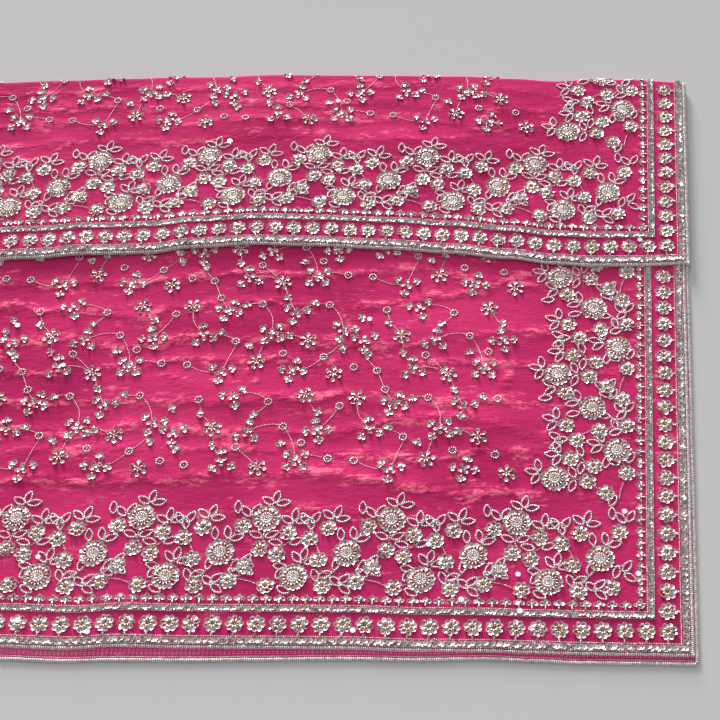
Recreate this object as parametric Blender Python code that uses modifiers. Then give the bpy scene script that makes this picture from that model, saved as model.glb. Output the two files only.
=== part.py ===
"""A dupatta stole lying folded on a flat surface.

One long tissue cloth with beaded edging on all four sides is folded once across its length, so that
its two short pallu ends meet at +X, and the top of that double layer is folded forward as a flap.
The pieces are the four stretches of cloth (the layer underneath, the front panel, the flap and the
layer inside the flap) and the beaded edging of each stretch. Metres, +Z up, resting on z = 0.

A point of the cloth is given by "across", its distance from the pallu edge towards -X, and "up", its
distance from a hem towards +Y.
"""

import math
from typing import NamedTuple

import bmesh
import bpy

# Driving sizes of the cut cloth and of its folds.
CLOTH_LENGTH = 2.250
CLOTH_WIDTH = 0.950
FLAP_DEPTH = 0.256
FOLDED_LENGTH = CLOTH_LENGTH / 2
BODY_DEPTH = CLOTH_WIDTH - FLAP_DEPTH
SKEW = 0.089  # the folded cloth leans this far towards +X for each metre up
UNDER_RUN = 0.004  # the layer underneath runs this far past the front panel's pallu edge
FLAP_RUN = 0.004  # and so do both layers of the flap
LINING_RUN = 0.0015  # the layer inside the flap runs this much further still

# Walls, gaps and the heights of the middle of each wall.
UNDER_WALL = 0.0015
WALL = 0.0012
GAP = 0.0003
STEP = WALL + GAP
FOLD_FOOT = WALL / 2
FRONT_LEVEL = UNDER_WALL + GAP + WALL / 2
LINING_LEVEL = FRONT_LEVEL + STEP
FLAP_LEVEL = LINING_LEVEL + STEP

# Folds: the radius of each fold's middle line, and where each bend starts.
TURN = 0.005  # cloth past a fold before it meets the next piece
MEETING_GAP = 0.001  # between that cloth and the next piece, whose columns lie elsewhere
TOP_RADIUS = (FLAP_LEVEL - FOLD_FOOT) / 2
TOP_BEND = BODY_DEPTH - WALL / 2 - TOP_RADIUS
FLAP_BEND = TOP_BEND - (BODY_DEPTH - FLAP_DEPTH)
END_RADIUS = (FRONT_LEVEL - FOLD_FOOT) / 2
END_BEND = FOLDED_LENGTH - WALL / 2 - END_RADIUS
FLAP_END_RADIUS = (FLAP_LEVEL - LINING_LEVEL) / 2
FLAP_END_BEND = FOLDED_LENGTH - WALL / 2 - FLAP_END_RADIUS
CORNER_OPENS = 0.030  # the end fold of the flap opens out over this depth below the top fold
NEARLY_OPEN = 0.95  # an end fold opened further than this lies flat

# The soft rises fade out towards each edge: none within the first distance, whole past the second.
PALLU_FADE = (0.020, 0.100)
END_FADE = (0.030, 0.100)
HEM_FADE = (0.020, 0.090)
UNDER_FLAP_FADE = (0.025, 0.070)
TOP_FADE = (0.015, 0.060)

EDGING_WIDTH = 0.003
COLUMNS = 30
BODY_ROWS = 18
FLAP_ROWS = 8
ARC_STEPS = 4
MILLI = 0.001

MAGENTA = (0.515, 0.032, 0.135, 1.0)
SILVER_BEADS = (0.60, 0.56, 0.50, 1.0)


class Edge(NamedTuple):
    """Where the edges run at one distance from the pallu edge; offsets in millimetres towards +Y."""

    across: float
    hem: float
    peek: float
    flap: float
    fold: float


class Swell(NamedTuple):
    """A soft rise in the cloth; its sizes in metres, its height in millimetres, its turn in degrees."""

    across: float
    up: float
    length: float
    width: float
    height: float
    turn: float


EDGES = (
    Edge(across=0.000, hem=0.0, peek=8.1, flap=1.7, fold=0.0),
    Edge(across=0.050, hem=0.8, peek=8.1, flap=-0.4, fold=3.5),
    Edge(across=0.100, hem=1.7, peek=8.4, flap=-0.8, fold=4.0),
    Edge(across=0.140, hem=3.0, peek=7.8, flap=2.1, fold=1.5),
    Edge(across=0.190, hem=4.4, peek=7.2, flap=9.0, fold=5.5),
    Edge(across=0.250, hem=4.9, peek=8.8, flap=16.0, fold=9.0),
    Edge(across=0.320, hem=7.2, peek=10.0, flap=21.8, fold=10.0),
    Edge(across=0.400, hem=7.8, peek=11.4, flap=26.0, fold=10.5),
    Edge(across=0.460, hem=8.2, peek=12.4, flap=28.0, fold=11.5),
    Edge(across=0.530, hem=9.7, peek=13.6, flap=22.4, fold=8.0),
    Edge(across=0.570, hem=7.0, peek=11.8, flap=16.0, fold=7.5),
    Edge(across=0.640, hem=9.4, peek=11.9, flap=13.2, fold=5.0),
    Edge(across=0.700, hem=8.0, peek=11.2, flap=9.0, fold=2.5),
    Edge(across=0.780, hem=7.5, peek=10.2, flap=3.5, fold=-1.0),
    Edge(across=0.900, hem=8.6, peek=8.4, flap=6.5, fold=0.5),
    Edge(across=1.020, hem=6.4, peek=6.6, flap=8.0, fold=1.5),
    Edge(across=1.125, hem=8.0, peek=4.0, flap=2.0, fold=2.0),
)

BODY_SWELLS = (
    Swell(across=0.640, up=0.330, length=0.230, width=0.060, height=2.2, turn=90),
    Swell(across=0.500, up=0.360, length=0.220, width=0.055, height=1.6, turn=4),
    Swell(across=0.270, up=0.345, length=0.260, width=0.060, height=1.7, turn=-3),
    Swell(across=0.440, up=0.265, length=0.300, width=0.055, height=1.8, turn=6),
    Swell(across=0.200, up=0.240, length=0.180, width=0.060, height=1.4, turn=-8),
    Swell(across=0.560, up=0.190, length=0.240, width=0.060, height=1.5, turn=5),
    Swell(across=0.330, up=0.175, length=0.230, width=0.055, height=1.6, turn=2),
    Swell(across=0.790, up=0.310, length=0.230, width=0.060, height=1.8, turn=-4),
    Swell(across=0.860, up=0.210, length=0.260, width=0.055, height=1.6, turn=7),
    Swell(across=1.000, up=0.290, length=0.190, width=0.060, height=1.7, turn=-6),
)

FLAP_SWELLS = (
    Swell(across=0.640, up=0.000, length=0.110, width=0.080, height=2.0, turn=90),
    Swell(across=0.530, up=0.010, length=0.120, width=0.090, height=1.3, turn=60),
    Swell(across=0.300, up=0.150, length=0.260, width=0.060, height=1.5, turn=3),
    Swell(across=0.520, up=0.175, length=0.240, width=0.055, height=1.4, turn=-4),
    Swell(across=0.750, up=0.130, length=0.250, width=0.060, height=1.6, turn=5),
    Swell(across=0.950, up=0.160, length=0.220, width=0.060, height=1.5, turn=-3),
    Swell(across=0.900, up=0.005, length=0.120, width=0.090, height=1.5, turn=75),
)


def clear_scene():
    """Remove every object and mesh of the open scene."""
    for obj in list(bpy.data.objects):
        bpy.data.objects.remove(obj)
    for mesh in list(bpy.data.meshes):
        bpy.data.meshes.remove(mesh)


def principled(name, colour, roughness, metallic):
    """A plain Principled material."""
    material = bpy.data.materials.new(name)
    material.use_nodes = True
    shader = material.node_tree.nodes["Principled BSDF"]
    shader.inputs["Base Color"].default_value = colour
    shader.inputs["Roughness"].default_value = roughness
    shader.inputs["Metallic"].default_value = metallic
    return material


def edge_at(name, across):
    """The offset of one edge, in metres, eased between the rows of the table."""
    rows = EDGES
    if across <= rows[0].across:
        return getattr(rows[0], name) * MILLI
    for left, right in zip(rows, rows[1:]):
        if across <= right.across:
            share = (across - left.across) / (right.across - left.across)
            eased = share * share * (3 - 2 * share)
            offset = getattr(left, name) * (1 - eased) + getattr(right, name) * eased
            return offset * MILLI
    return getattr(rows[-1], name) * MILLI


def ramp(value, start, end):
    """0 below start, 1 above end, and eased between."""
    share = min(max((value - start) / (end - start), 0.0), 1.0)
    return share * share * (3 - 2 * share)


def swell_height(swells, across, up):
    """The height of all soft rises at a point of the cloth: each a bell that ends near its own size."""
    total = 0.0
    for swell in swells:
        angle = math.radians(swell.turn)
        run = across - swell.across
        rise = up - swell.up
        along = (run * math.cos(angle) + rise * math.sin(angle)) / (swell.length / 2)
        aside = (rise * math.cos(angle) - run * math.sin(angle)) / (swell.width / 2)
        total += swell.height * MILLI * math.exp(-2 * (along * along + aside * aside))
    return total


def sides_share(across):
    """1 on the open cloth, fading to 0 at the pallu edge and at the end fold."""
    return ramp(across, *PALLU_FADE) * ramp(END_BEND - across, *END_FADE)


def body_rise(across, up):
    """Rises of the open part of the body, none under the flap, at the hem or at either end."""
    below_flap = BODY_DEPTH - FLAP_DEPTH - up
    ends = ramp(up, *HEM_FADE) * ramp(below_flap, *UNDER_FLAP_FADE)
    return swell_height(BODY_SWELLS, across, up) * sides_share(across) * ends


def flap_rise(across, up):
    """Rises of the flap, free at its hem, none at its ends or at the top fold."""
    top = ramp(FLAP_BEND - up, *TOP_FADE)
    return swell_height(FLAP_SWELLS, across, up) * sides_share(across) * top


def end_fold(across, bend, radius, opened=0.0):
    """Distance from the pallu edge and drop of cloth that turns under at the end fold.

    An opened fold keeps its length of cloth but bends less.
    """
    past = across - bend
    if past <= 0 or opened > NEARLY_OPEN:
        return across, 0.0
    bent = radius / (1 - opened)
    arc = min(past, math.pi * radius)
    tail = past - arc
    run = bend + bent * math.sin(arc / bent) - tail
    return run, bent * (1 - math.cos(arc / bent))


def lean(across, y, run):
    """World x of a point this far from a pallu edge that stands out by run."""
    return run - across + SKEW * y


def body_point(across, up, level, run=0.0):
    """A point of a body layer: the edges' curves fade into each other from the hem to the top."""
    flat, drop = end_fold(across, END_BEND, END_RADIUS)
    share = min(max(up, 0.0) / TOP_BEND, 1.0)
    y = up + edge_at("hem", flat) * (1 - share) + edge_at("fold", flat) * share
    return lean(flat, y, run), y, level + body_rise(flat, up) - drop


def under_point(across, up):
    """A point on top of the layer underneath, whose hem stands out by the peek."""
    longest = max(edge.peek for edge in EDGES) * MILLI
    x, y, z = body_point(across, max(up, 0.0), UNDER_WALL)
    out = min(up, 0.0) / longest * edge_at("peek", across)
    return lean(across, y + out, 0.0), y + out, z


def flap_point(across, up, level, foot, run):
    """A point of a flap layer, which bends down over the top fold to the foot level."""
    flat, drop = across, 0.0
    if level == FLAP_LEVEL:
        opened = ramp(up, FLAP_BEND - CORNER_OPENS, FLAP_BEND)
        flat, drop = end_fold(across, FLAP_END_BEND, FLAP_END_RADIUS, opened)
    share = min(up / FLAP_BEND, 1.0)
    y = BODY_DEPTH - FLAP_DEPTH + min(up, FLAP_BEND)
    y += edge_at("flap", flat) * (1 - share) + edge_at("fold", flat - run) * share
    z = level + flap_rise(flat, up) - drop
    past = up - FLAP_BEND
    if past > 0:
        radius = (level - drop - foot) / 2
        angle = min(past / ((level - foot) / 2), math.pi)
        tail = max(past - math.pi * (level - foot) / 2, 0.0)
        y += radius * math.sin(angle) - tail
        z -= radius * (1 - math.cos(angle))
    return lean(flat, y, run), y, z


def spaced(start, end, count):
    """Even values from start to end, both included."""
    return [start + (end - start) * step / count for step in range(count + 1)]


def turned(bend, radius, tail=TURN):
    """Distances round a half-circle fold, and of the tail after it."""
    arc = [bend + math.pi * radius * step / ARC_STEPS for step in range(1, ARC_STEPS + 1)]
    return arc + [arc[-1] + tail] if tail else arc


def grid(columns, rows, place):
    """An open, triangulated sheet with a vertex at place(column, row) for each pair, facing up."""
    mesh = bmesh.new()
    across_count = len(columns) - 1
    up_count = len(rows) - 1
    bmesh.ops.create_grid(mesh, x_segments=across_count, y_segments=up_count, size=1.0)
    for vertex in mesh.verts:
        column = round((1 - vertex.co.x) / 2 * across_count)
        row = round((vertex.co.y + 1) / 2 * up_count)
        vertex.co = place(columns[column], rows[row])
    bmesh.ops.triangulate(mesh, faces=mesh.faces[:], quad_method="FIXED")
    return mesh


def add_object(name, mesh, material, collection):
    """Link a new object that holds the mesh."""
    data = bpy.data.meshes.new(name)
    mesh.to_mesh(data)
    mesh.free()
    data.materials.append(material)
    data.shade_smooth()
    obj = bpy.data.objects.new(name, data)
    collection.objects.link(obj)
    return obj


def add_wall(name, mesh, material, collection):
    """A sheet with the cloth's thickness, half of it on each side."""
    obj = add_object(name, mesh, material, collection)
    solidify = obj.modifiers.new("wall", "SOLIDIFY")
    solidify.thickness = WALL
    solidify.offset = 0.0
    return obj


def add_slab(name, mesh, material, collection):
    """A sheet closed down to a flat underside at z = 0."""
    rim = [edge for edge in mesh.edges if edge.is_boundary]
    skirt = bmesh.ops.extrude_edge_only(mesh, edges=rim)["geom"]
    for part in skirt:
        if isinstance(part, bmesh.types.BMVert):
            part.co.z = 0.0
    lower = [part for part in skirt if isinstance(part, bmesh.types.BMEdge) and part.is_boundary]
    bmesh.ops.edgeloop_fill(mesh, edges=lower)
    bmesh.ops.recalc_face_normals(mesh, faces=mesh.faces[:])
    return add_object(name, mesh, material, collection)


def build_cloth(material, collection):
    """The four stretches of the folded cloth."""
    columns = spaced(0.0, END_BEND, COLUMNS)
    flap_columns = spaced(0.0, FLAP_END_BEND, COLUMNS)
    rows = spaced(0.0, TOP_BEND - TURN - MEETING_GAP, BODY_ROWS)
    flap_rows = spaced(0.0, FLAP_BEND, FLAP_ROWS)

    under_columns = [-UNDER_RUN] + columns[:-1] + [END_BEND - TURN - GAP]
    longest = max(edge.peek for edge in EDGES) * MILLI
    under = grid(under_columns, [-longest] + rows, under_point)
    add_slab("under_layer", under, material, collection)

    def front_point(across, up):
        return body_point(across, up, FRONT_LEVEL)

    front = grid(columns + turned(END_BEND, END_RADIUS), rows, front_point)
    add_wall("front_panel", front, material, collection)

    def lining_point(across, up):
        return flap_point(across, up, LINING_LEVEL, FRONT_LEVEL, FLAP_RUN + LINING_RUN)

    lining_rows = flap_rows + turned(FLAP_BEND, (LINING_LEVEL - FRONT_LEVEL) / 2)
    lining_columns = flap_columns[:-1] + [FLAP_END_BEND + LINING_RUN - GAP]
    lining = grid(lining_columns, lining_rows, lining_point)
    add_wall("flap_lining", lining, material, collection)

    def panel_point(across, up):
        return flap_point(across, up, FLAP_LEVEL, FOLD_FOOT, FLAP_RUN)

    panel_columns = flap_columns + turned(FLAP_END_BEND, FLAP_END_RADIUS, tail=0.0)
    panel = grid(panel_columns, flap_rows + turned(FLAP_BEND, TOP_RADIUS), panel_point)
    add_wall("flap_panel", panel, material, collection)


def build_edging(material, collection):
    """The beaded edging sewn along each hem, to the corner, and up each pallu edge."""
    beside = [-GAP - EDGING_WIDTH, -GAP]
    longest = max(edge.peek for edge in EDGES) * MILLI
    columns = spaced(0.0, END_BEND, COLUMNS)
    flap_columns = spaced(0.0, FLAP_END_BEND, COLUMNS)
    rows = spaced(0.0, TOP_BEND - TURN - MEETING_GAP, BODY_ROWS)
    flap_rows = spaced(0.0, FLAP_BEND, FLAP_ROWS)

    def under_edge(across, up):
        x, y, z = under_point(across, max(up, -longest))
        below = min(up + longest, 0.0)
        return x + SKEW * below, y + below, WALL / 2

    def front_edge(across, up):
        return body_point(across, up, FRONT_LEVEL)

    def lining_edge(across, up):
        return flap_point(across, up, LINING_LEVEL, FRONT_LEVEL, FLAP_RUN + LINING_RUN)

    def flap_edge(across, up):
        return flap_point(across, up, FLAP_LEVEL, FOLD_FOOT, FLAP_RUN)

    under_hem = [value - longest for value in beside]
    under_side = [value - UNDER_RUN for value in beside]
    hems = (
        ("under_hem_edging", under_side[:1] + columns[:-1], under_hem, under_edge),
        ("front_hem_edging", beside[:1] + columns, beside, front_edge),
        ("lining_hem_edging", beside[:1] + flap_columns[:-1], beside, lining_edge),
        ("flap_hem_edging", beside[:1] + flap_columns, beside, flap_edge),
    )
    sides = (
        ("under_side_edging", under_side, [-longest] + rows, under_edge),
        ("front_side_edging", beside, rows, front_edge),
        ("lining_side_edging", beside, flap_rows, lining_edge),
        ("flap_side_edging", beside, flap_rows, flap_edge),
    )
    for name, across, up, place in hems + sides:
        add_wall(name, grid(across, up, place), material, collection)


def centre_on_origin(collection):
    """Move every piece so that the whole box is centred on x = y = 0."""
    bpy.context.view_layer.update()
    graph = bpy.context.evaluated_depsgraph_get()
    corners = [corner for obj in collection.objects for corner in obj.evaluated_get(graph).bound_box]
    for axis in (0, 1):
        values = [corner[axis] for corner in corners]
        middle = (min(values) + max(values)) / 2
        for obj in collection.objects:
            obj.location[axis] = -middle


def main():
    """Build the folded dupatta."""
    clear_scene()
    collection = bpy.data.collections.new("dupatta_stole")
    bpy.context.scene.collection.children.link(collection)
    silk = principled("tissue_silk", MAGENTA, roughness=0.45, metallic=0.0)
    beads = principled("silver_beads", SILVER_BEADS, roughness=0.35, metallic=0.6)
    build_cloth(silk, collection)
    build_edging(beads, collection)
    centre_on_origin(collection)


main()
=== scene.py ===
"""The looks of a folded dupatta stole: shot tissue silk worked in sequins, seed beads and bugle beads.

A point of the cloth is given by "across", its distance from the pallu edge towards -X, and "up", its
distance from the stretch's own hem towards +Y. The shapes of the folds repeat those of the CAD part,
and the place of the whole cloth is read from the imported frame.
"""

import logging
import math
from dataclasses import dataclass
from enum import Enum
from typing import Callable, NamedTuple

import bmesh
import bpy
import numpy as np
from mathutils import Matrix, Vector


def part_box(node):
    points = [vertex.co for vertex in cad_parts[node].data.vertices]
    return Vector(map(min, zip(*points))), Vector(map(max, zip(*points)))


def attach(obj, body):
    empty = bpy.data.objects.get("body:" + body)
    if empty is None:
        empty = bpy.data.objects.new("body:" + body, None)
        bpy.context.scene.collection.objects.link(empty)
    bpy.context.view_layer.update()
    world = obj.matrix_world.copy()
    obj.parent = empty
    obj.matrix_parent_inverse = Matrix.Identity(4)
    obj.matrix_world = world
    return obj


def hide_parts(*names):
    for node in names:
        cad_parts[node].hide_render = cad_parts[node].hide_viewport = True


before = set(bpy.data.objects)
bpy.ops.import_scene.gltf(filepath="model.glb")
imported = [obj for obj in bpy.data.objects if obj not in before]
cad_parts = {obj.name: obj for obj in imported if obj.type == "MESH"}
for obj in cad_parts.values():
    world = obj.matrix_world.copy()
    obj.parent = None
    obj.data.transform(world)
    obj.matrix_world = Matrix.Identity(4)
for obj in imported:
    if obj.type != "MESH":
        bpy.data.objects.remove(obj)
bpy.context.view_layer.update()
LOG = logging.getLogger("dupatta")
MM = 0.001
CLOTH_WALL = 0.5 * MM
Array = np.ndarray
Values = float | list[float] | Array
Colour = tuple[float, float, float, float]
Size = tuple[float, float, float]
Place = tuple[float, float]
Path = tuple[Place, ...]
Line = tuple[Size, ...]


# ---------------------------------------------------------------- the plan of the folds


class Edge(NamedTuple):
    """Where the edges run at one distance from the pallu edge; offsets in millimetres towards +Y."""

    across: float
    hem: float
    peek: float
    flap: float
    fold: float


class Crease(NamedTuple):
    """A soft rise or trough of the cloth.

    Its sizes are in metres, its height in millimetres, its turn in degrees, and painted_sheen says how
    much coral sheen is painted into the cloth's colour along it.
    """

    across: float
    up: float
    length: float
    width: float
    height: float
    turn: float
    painted_sheen: float = 0.0


EDGES = (
    Edge(0.000, hem=0.0, peek=8.1, flap=1.7, fold=0.0),
    Edge(0.050, hem=0.8, peek=8.1, flap=-0.4, fold=3.5),
    Edge(0.100, hem=1.7, peek=8.4, flap=-0.8, fold=4.0),
    Edge(0.140, hem=3.0, peek=7.8, flap=2.1, fold=1.5),
    Edge(0.190, hem=4.4, peek=7.2, flap=9.0, fold=5.5),
    Edge(0.250, hem=4.9, peek=8.8, flap=16.0, fold=9.0),
    Edge(0.320, hem=7.2, peek=10.0, flap=21.8, fold=10.0),
    Edge(0.400, hem=7.8, peek=11.4, flap=26.0, fold=10.5),
    Edge(0.460, hem=8.2, peek=12.4, flap=28.0, fold=11.5),
    Edge(0.530, hem=9.7, peek=13.6, flap=22.4, fold=8.0),
    Edge(0.570, hem=7.0, peek=11.8, flap=16.0, fold=7.5),
    Edge(0.640, hem=9.4, peek=11.9, flap=13.2, fold=5.0),
    Edge(0.700, hem=8.0, peek=11.2, flap=9.0, fold=2.5),
    Edge(0.780, hem=7.5, peek=10.2, flap=3.5, fold=-1.0),
    Edge(0.900, hem=8.6, peek=8.4, flap=6.5, fold=0.5),
    Edge(1.020, hem=6.4, peek=6.6, flap=8.0, fold=1.5),
    Edge(1.125, hem=8.0, peek=4.0, flap=2.0, fold=2.0),
)

BODY_SWELLS = (
    Crease(0.640, 0.330, 0.230, 0.060, 2.2, 90),
    Crease(0.500, 0.360, 0.220, 0.055, 1.6, 4),
    Crease(0.270, 0.345, 0.260, 0.060, 1.7, -3),
    Crease(0.440, 0.265, 0.300, 0.055, 1.8, 6),
    Crease(0.200, 0.240, 0.180, 0.060, 1.4, -8),
    Crease(0.560, 0.190, 0.240, 0.060, 1.5, 5),
    Crease(0.330, 0.175, 0.230, 0.055, 1.6, 2),
    Crease(0.790, 0.310, 0.230, 0.060, 1.8, -4),
    Crease(0.860, 0.210, 0.260, 0.055, 1.6, 7),
    Crease(1.000, 0.290, 0.190, 0.060, 1.7, -6),
)

FLAP_SWELLS = (
    Crease(0.640, 0.000, 0.110, 0.080, 2.0, 90),
    Crease(0.530, 0.010, 0.120, 0.090, 1.3, 60),
    Crease(0.300, 0.150, 0.260, 0.060, 1.5, 3),
    Crease(0.520, 0.175, 0.240, 0.055, 1.4, -4),
    Crease(0.750, 0.130, 0.250, 0.060, 1.6, 5),
    Crease(0.950, 0.160, 0.220, 0.060, 1.5, -3),
    Crease(0.900, 0.005, 0.120, 0.090, 1.5, 75),
)

# The last number of a crease, where there is one, is how much coral sheen is painted along it.
BODY_CREASES = (
    Crease(0.645, 0.300, 0.150, 0.013, -1.1, 87),
    Crease(0.630, 0.330, 0.120, 0.012, 0.7, 88, 0.3),
    Crease(0.615, 0.395, 0.060, 0.010, -0.8, 75),
    Crease(0.675, 0.245, 0.050, 0.009, -0.9, 80),
    Crease(0.590, 0.262, 0.032, 0.008, -0.7, 118),
    Crease(0.566, 0.300, 0.040, 0.008, 0.6, 40, 0.6),
    Crease(0.462, 0.264, 0.034, 0.008, -0.8, 125),
    Crease(0.440, 0.292, 0.044, 0.008, 0.6, 60, 0.7),
    Crease(0.345, 0.350, 0.060, 0.013, 0.7, 64, 0.9),
    Crease(0.205, 0.385, 0.040, 0.009, -0.7, 60),
    Crease(0.180, 0.290, 0.040, 0.014, 0.7, 110, 0.9),
    Crease(0.136, 0.296, 0.034, 0.008, -0.7, 70),
    Crease(0.515, 0.285, 0.050, 0.009, 0.5, 30, 0.5),
    Crease(0.700, 0.315, 0.050, 0.014, 0.7, 100, 1.0),
    Crease(0.400, 0.100, 0.070, 0.010, 0.5, 15, 0.4),
    Crease(0.250, 0.090, 0.060, 0.010, 0.5, -12, 0.3),
    Crease(0.570, 0.085, 0.060, 0.010, 0.5, 20, 0.4),
    Crease(0.820, 0.345, 0.060, 0.012, 0.7, 62, 0.8),
    Crease(0.930, 0.260, 0.120, 0.013, -0.9, 80),
    Crease(0.985, 0.315, 0.050, 0.012, 0.6, 105, 0.8),
    Crease(0.880, 0.200, 0.050, 0.009, -0.7, 70),
    Crease(1.040, 0.240, 0.050, 0.010, 0.6, 50, 0.7),
    Crease(0.800, 0.095, 0.070, 0.010, 0.5, -14, 0.4),
    Crease(0.960, 0.085, 0.060, 0.010, 0.5, 16, 0.4),
)

FLAP_CREASES = (
    Crease(0.560, 0.215, 0.050, 0.010, -0.7, 68),
    Crease(0.330, 0.205, 0.050, 0.010, -0.6, 50),
    Crease(0.640, 0.060, 0.090, 0.012, -0.8, 84),
    Crease(0.400, 0.195, 0.050, 0.012, 0.6, 35, 0.8),
    Crease(0.225, 0.190, 0.050, 0.012, 0.6, 125, 0.8),
    Crease(0.490, 0.175, 0.040, 0.010, 0.5, 60, 0.6),
    Crease(0.700, 0.215, 0.050, 0.011, 0.6, 40, 0.8),
    Crease(0.830, 0.200, 0.060, 0.010, -0.6, 70),
    Crease(0.910, 0.190, 0.050, 0.012, 0.6, 50, 0.8),
    Crease(1.030, 0.175, 0.050, 0.011, 0.6, 110, 0.7),
    Crease(0.580, 0.095, 0.060, 0.010, 0.5, 20, 0.4),
    Crease(0.300, 0.080, 0.060, 0.010, 0.5, -15, 0.4),
)

# Long creases that wander along the cloth: millimetres across and up, and strength in tenths.
# The strength sets both the rise and the coral sheen painted along each crest.
BODY_LINES: tuple[Line, ...] = (
    ((50, 420, 1), (156, 424, 7), (190, 412, 4), (221, 410, 8), (267, 424, 5), (301, 424, 6),
     (380, 413, 6), (453, 417, 9), (513, 414, 10), (581, 405, 10), (637, 408, 7), (714, 408, 6),
     (800, 412, 8), (900, 405, 9), (1000, 414, 6), (1100, 408, 3)),
    ((100, 405, 2), (185, 408, 8), (241, 392, 10), (279, 383, 10), (317, 378, 7), (360, 372, 3),
     (400, 380, 8), (438, 381, 8), (502, 375, 9), (530, 372, 5), (564, 362, 10), (604, 370, 5),
     (656, 371, 9), (701, 380, 7), (780, 368, 9), (860, 376, 6), (950, 366, 9), (1080, 372, 3)),
    ((100, 345, 2), (182, 349, 7), (230, 338, 2), (278, 329, 8), (338, 326, 9), (395, 332, 8),
     (442, 332, 4), (499, 338, 10), (536, 329, 10), (577, 326, 7), (630, 334, 3), (686, 333, 10),
     (780, 330, 8), (880, 338, 5), (970, 328, 9), (1080, 334, 3)),
    ((130, 299, 4), (157, 307, 8), (190, 311, 9), (218, 310, 9), (253, 307, 8), (300, 300, 1),
     (360, 306, 4), (416, 311, 8), (440, 307, 5), (485, 307, 9), (523, 310, 10), (563, 299, 8),
     (602, 302, 3), (655, 292, 7), (679, 296, 8), (760, 300, 4), (830, 292, 9), (920, 298, 7),
     (1020, 290, 8), (1090, 294, 3)),
    ((140, 262, 1), (206, 266, 9), (227, 264, 10), (280, 258, 1), (342, 270, 8), (380, 262, 10),
     (415, 264, 9), (478, 256, 9), (525, 261, 5), (557, 258, 8), (576, 263, 8), (640, 258, 2),
     (720, 262, 8), (800, 254, 5), (880, 262, 9), (980, 256, 5), (1080, 262, 5)),
    ((140, 224, 3), (190, 238, 4), (226, 245, 10), (249, 245, 8), (278, 242, 10), (310, 234, 10),
     (338, 227, 6), (365, 222, 9), (410, 226, 3), (451, 224, 7), (473, 222, 9), (506, 229, 9),
     (544, 233, 9), (603, 222, 8), (633, 224, 8), (680, 232, 4), (750, 222, 8), (840, 230, 4),
     (930, 222, 9), (1080, 228, 5)),
    ((130, 208, 3), (204, 206, 7), (226, 202, 7), (259, 194, 5), (277, 197, 8), (321, 200, 8),
     (380, 203, 1), (431, 205, 7), (462, 205, 7), (520, 204, 1), (577, 206, 6), (622, 205, 6),
     (700, 200, 2), (780, 196, 7), (870, 202, 3), (960, 194, 8), (1080, 200, 3)),
    ((130, 158, 2), (166, 161, 9), (223, 158, 10), (244, 162, 6), (277, 165, 8), (333, 177, 10),
     (371, 178, 9), (420, 176, 3), (476, 175, 8), (524, 169, 10), (585, 170, 10), (632, 173, 10),
     (700, 170, 7), (790, 164, 9), (880, 172, 5), (970, 166, 10), (1080, 170, 5)),
    ((100, 118, 2), (250, 130, 3), (370, 140, 6), (420, 141, 6), (500, 128, 1), (600, 125, 5),
     (700, 132, 3), (850, 124, 5), (1000, 130, 4), (1090, 126, 2)),
)

FLAP_LINES: tuple[Line, ...] = (
    ((80, 236, 2), (200, 236, 6), (300, 240, 5), (420, 236, 7), (520, 232, 8), (620, 238, 8),
     (700, 234, 9), (800, 238, 5), (900, 232, 8), (1080, 238, 4)),
    ((120, 205, 2), (200, 208, 8), (260, 204, 3), (330, 214, 6), (420, 206, 9), (500, 213, 10),
     (570, 204, 5), (660, 212, 9), (720, 206, 5), (820, 213, 7), (950, 206, 8), (1080, 212, 3)),
    ((140, 182, 3), (220, 178, 7), (300, 186, 3), (380, 182, 9), (460, 187, 9), (550, 179, 3),
     (640, 184, 8), (720, 189, 7), (850, 180, 5), (980, 186, 8), (1080, 182, 3)),
    ((140, 152, 2), (250, 158, 5), (330, 154, 7), (430, 160, 3), (560, 152, 7), (660, 160, 4),
     (750, 154, 7), (900, 160, 3), (1030, 154, 6), (1090, 156, 2)),
    ((100, 112, 1), (300, 118, 4), (450, 108, 2), (600, 116, 5), (800, 110, 3), (1050, 116, 3)),
)


class Wave(NamedTuple):
    """A sine along the cloth: its size, its length in millimetres and its phase for each crease."""

    size: float
    length: float
    phase: float


@dataclass(frozen=True)
class LongCrease:
    """The form that all the long creases share, in millimetres."""

    crest: float = 0.54
    trough: float = 0.22
    trough_drop: float = 9.0
    trough_width: float = 5.0
    width: float = 5.6
    # How much coral sheen is painted along each crest.
    painted_sheen: float = 1.2
    steady: float = 0.72
    wander: tuple[Wave, ...] = (Wave(1.1, 6.1, 2.1), Wave(0.9, 13.9, 1.0))
    swelling: tuple[Wave, ...] = (Wave(1.9, 11.3, 3.0), Wave(1.2, 4.1, 1.0))
    flicker: tuple[Wave, ...] = (Wave(0.28, 8.7, 1.3),)


# An end fold that is more open than this lies flat.
NEARLY_OPEN = 0.95
# Needlework is kept this far past the flap's hem, and this many radii round the top fold.
SHOWN_PAST_HEM = 2.0 * MM
SHOWN_ROUND_FOLD = 1.6
TANGENT_STEP = 0.2 * MM
# How much coral sheen is painted along the flap's long creases, beside the body's.
FLAP_LINE_PAINTED_SHEEN = 0.65


def ramp(value: Array, start: float, end: float) -> Array:
    """0 below start, 1 above end, and eased between."""
    share = np.clip((value - start) / (end - start), 0.0, 1.0)
    return share * share * (3 - 2 * share)


def edge_at(name: str, across: Array) -> Array:
    """The offset of one edge, in metres, eased between the rows of the table.

    Args:
        name: the edge's field in the table.
        across: distances from the pallu edge.

    Returns:
        The offsets towards +Y.
    """
    stations = np.array([row.across for row in EDGES])
    offsets = np.array([getattr(row, name) for row in EDGES]) * MM
    place = np.clip(np.searchsorted(stations, across, side="right") - 1, 0, len(EDGES) - 2)
    share = ramp((across - stations[place]) / (stations[place + 1] - stations[place]), 0.0, 1.0)
    return offsets[place] * (1 - share) + offsets[place + 1] * share


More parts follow.
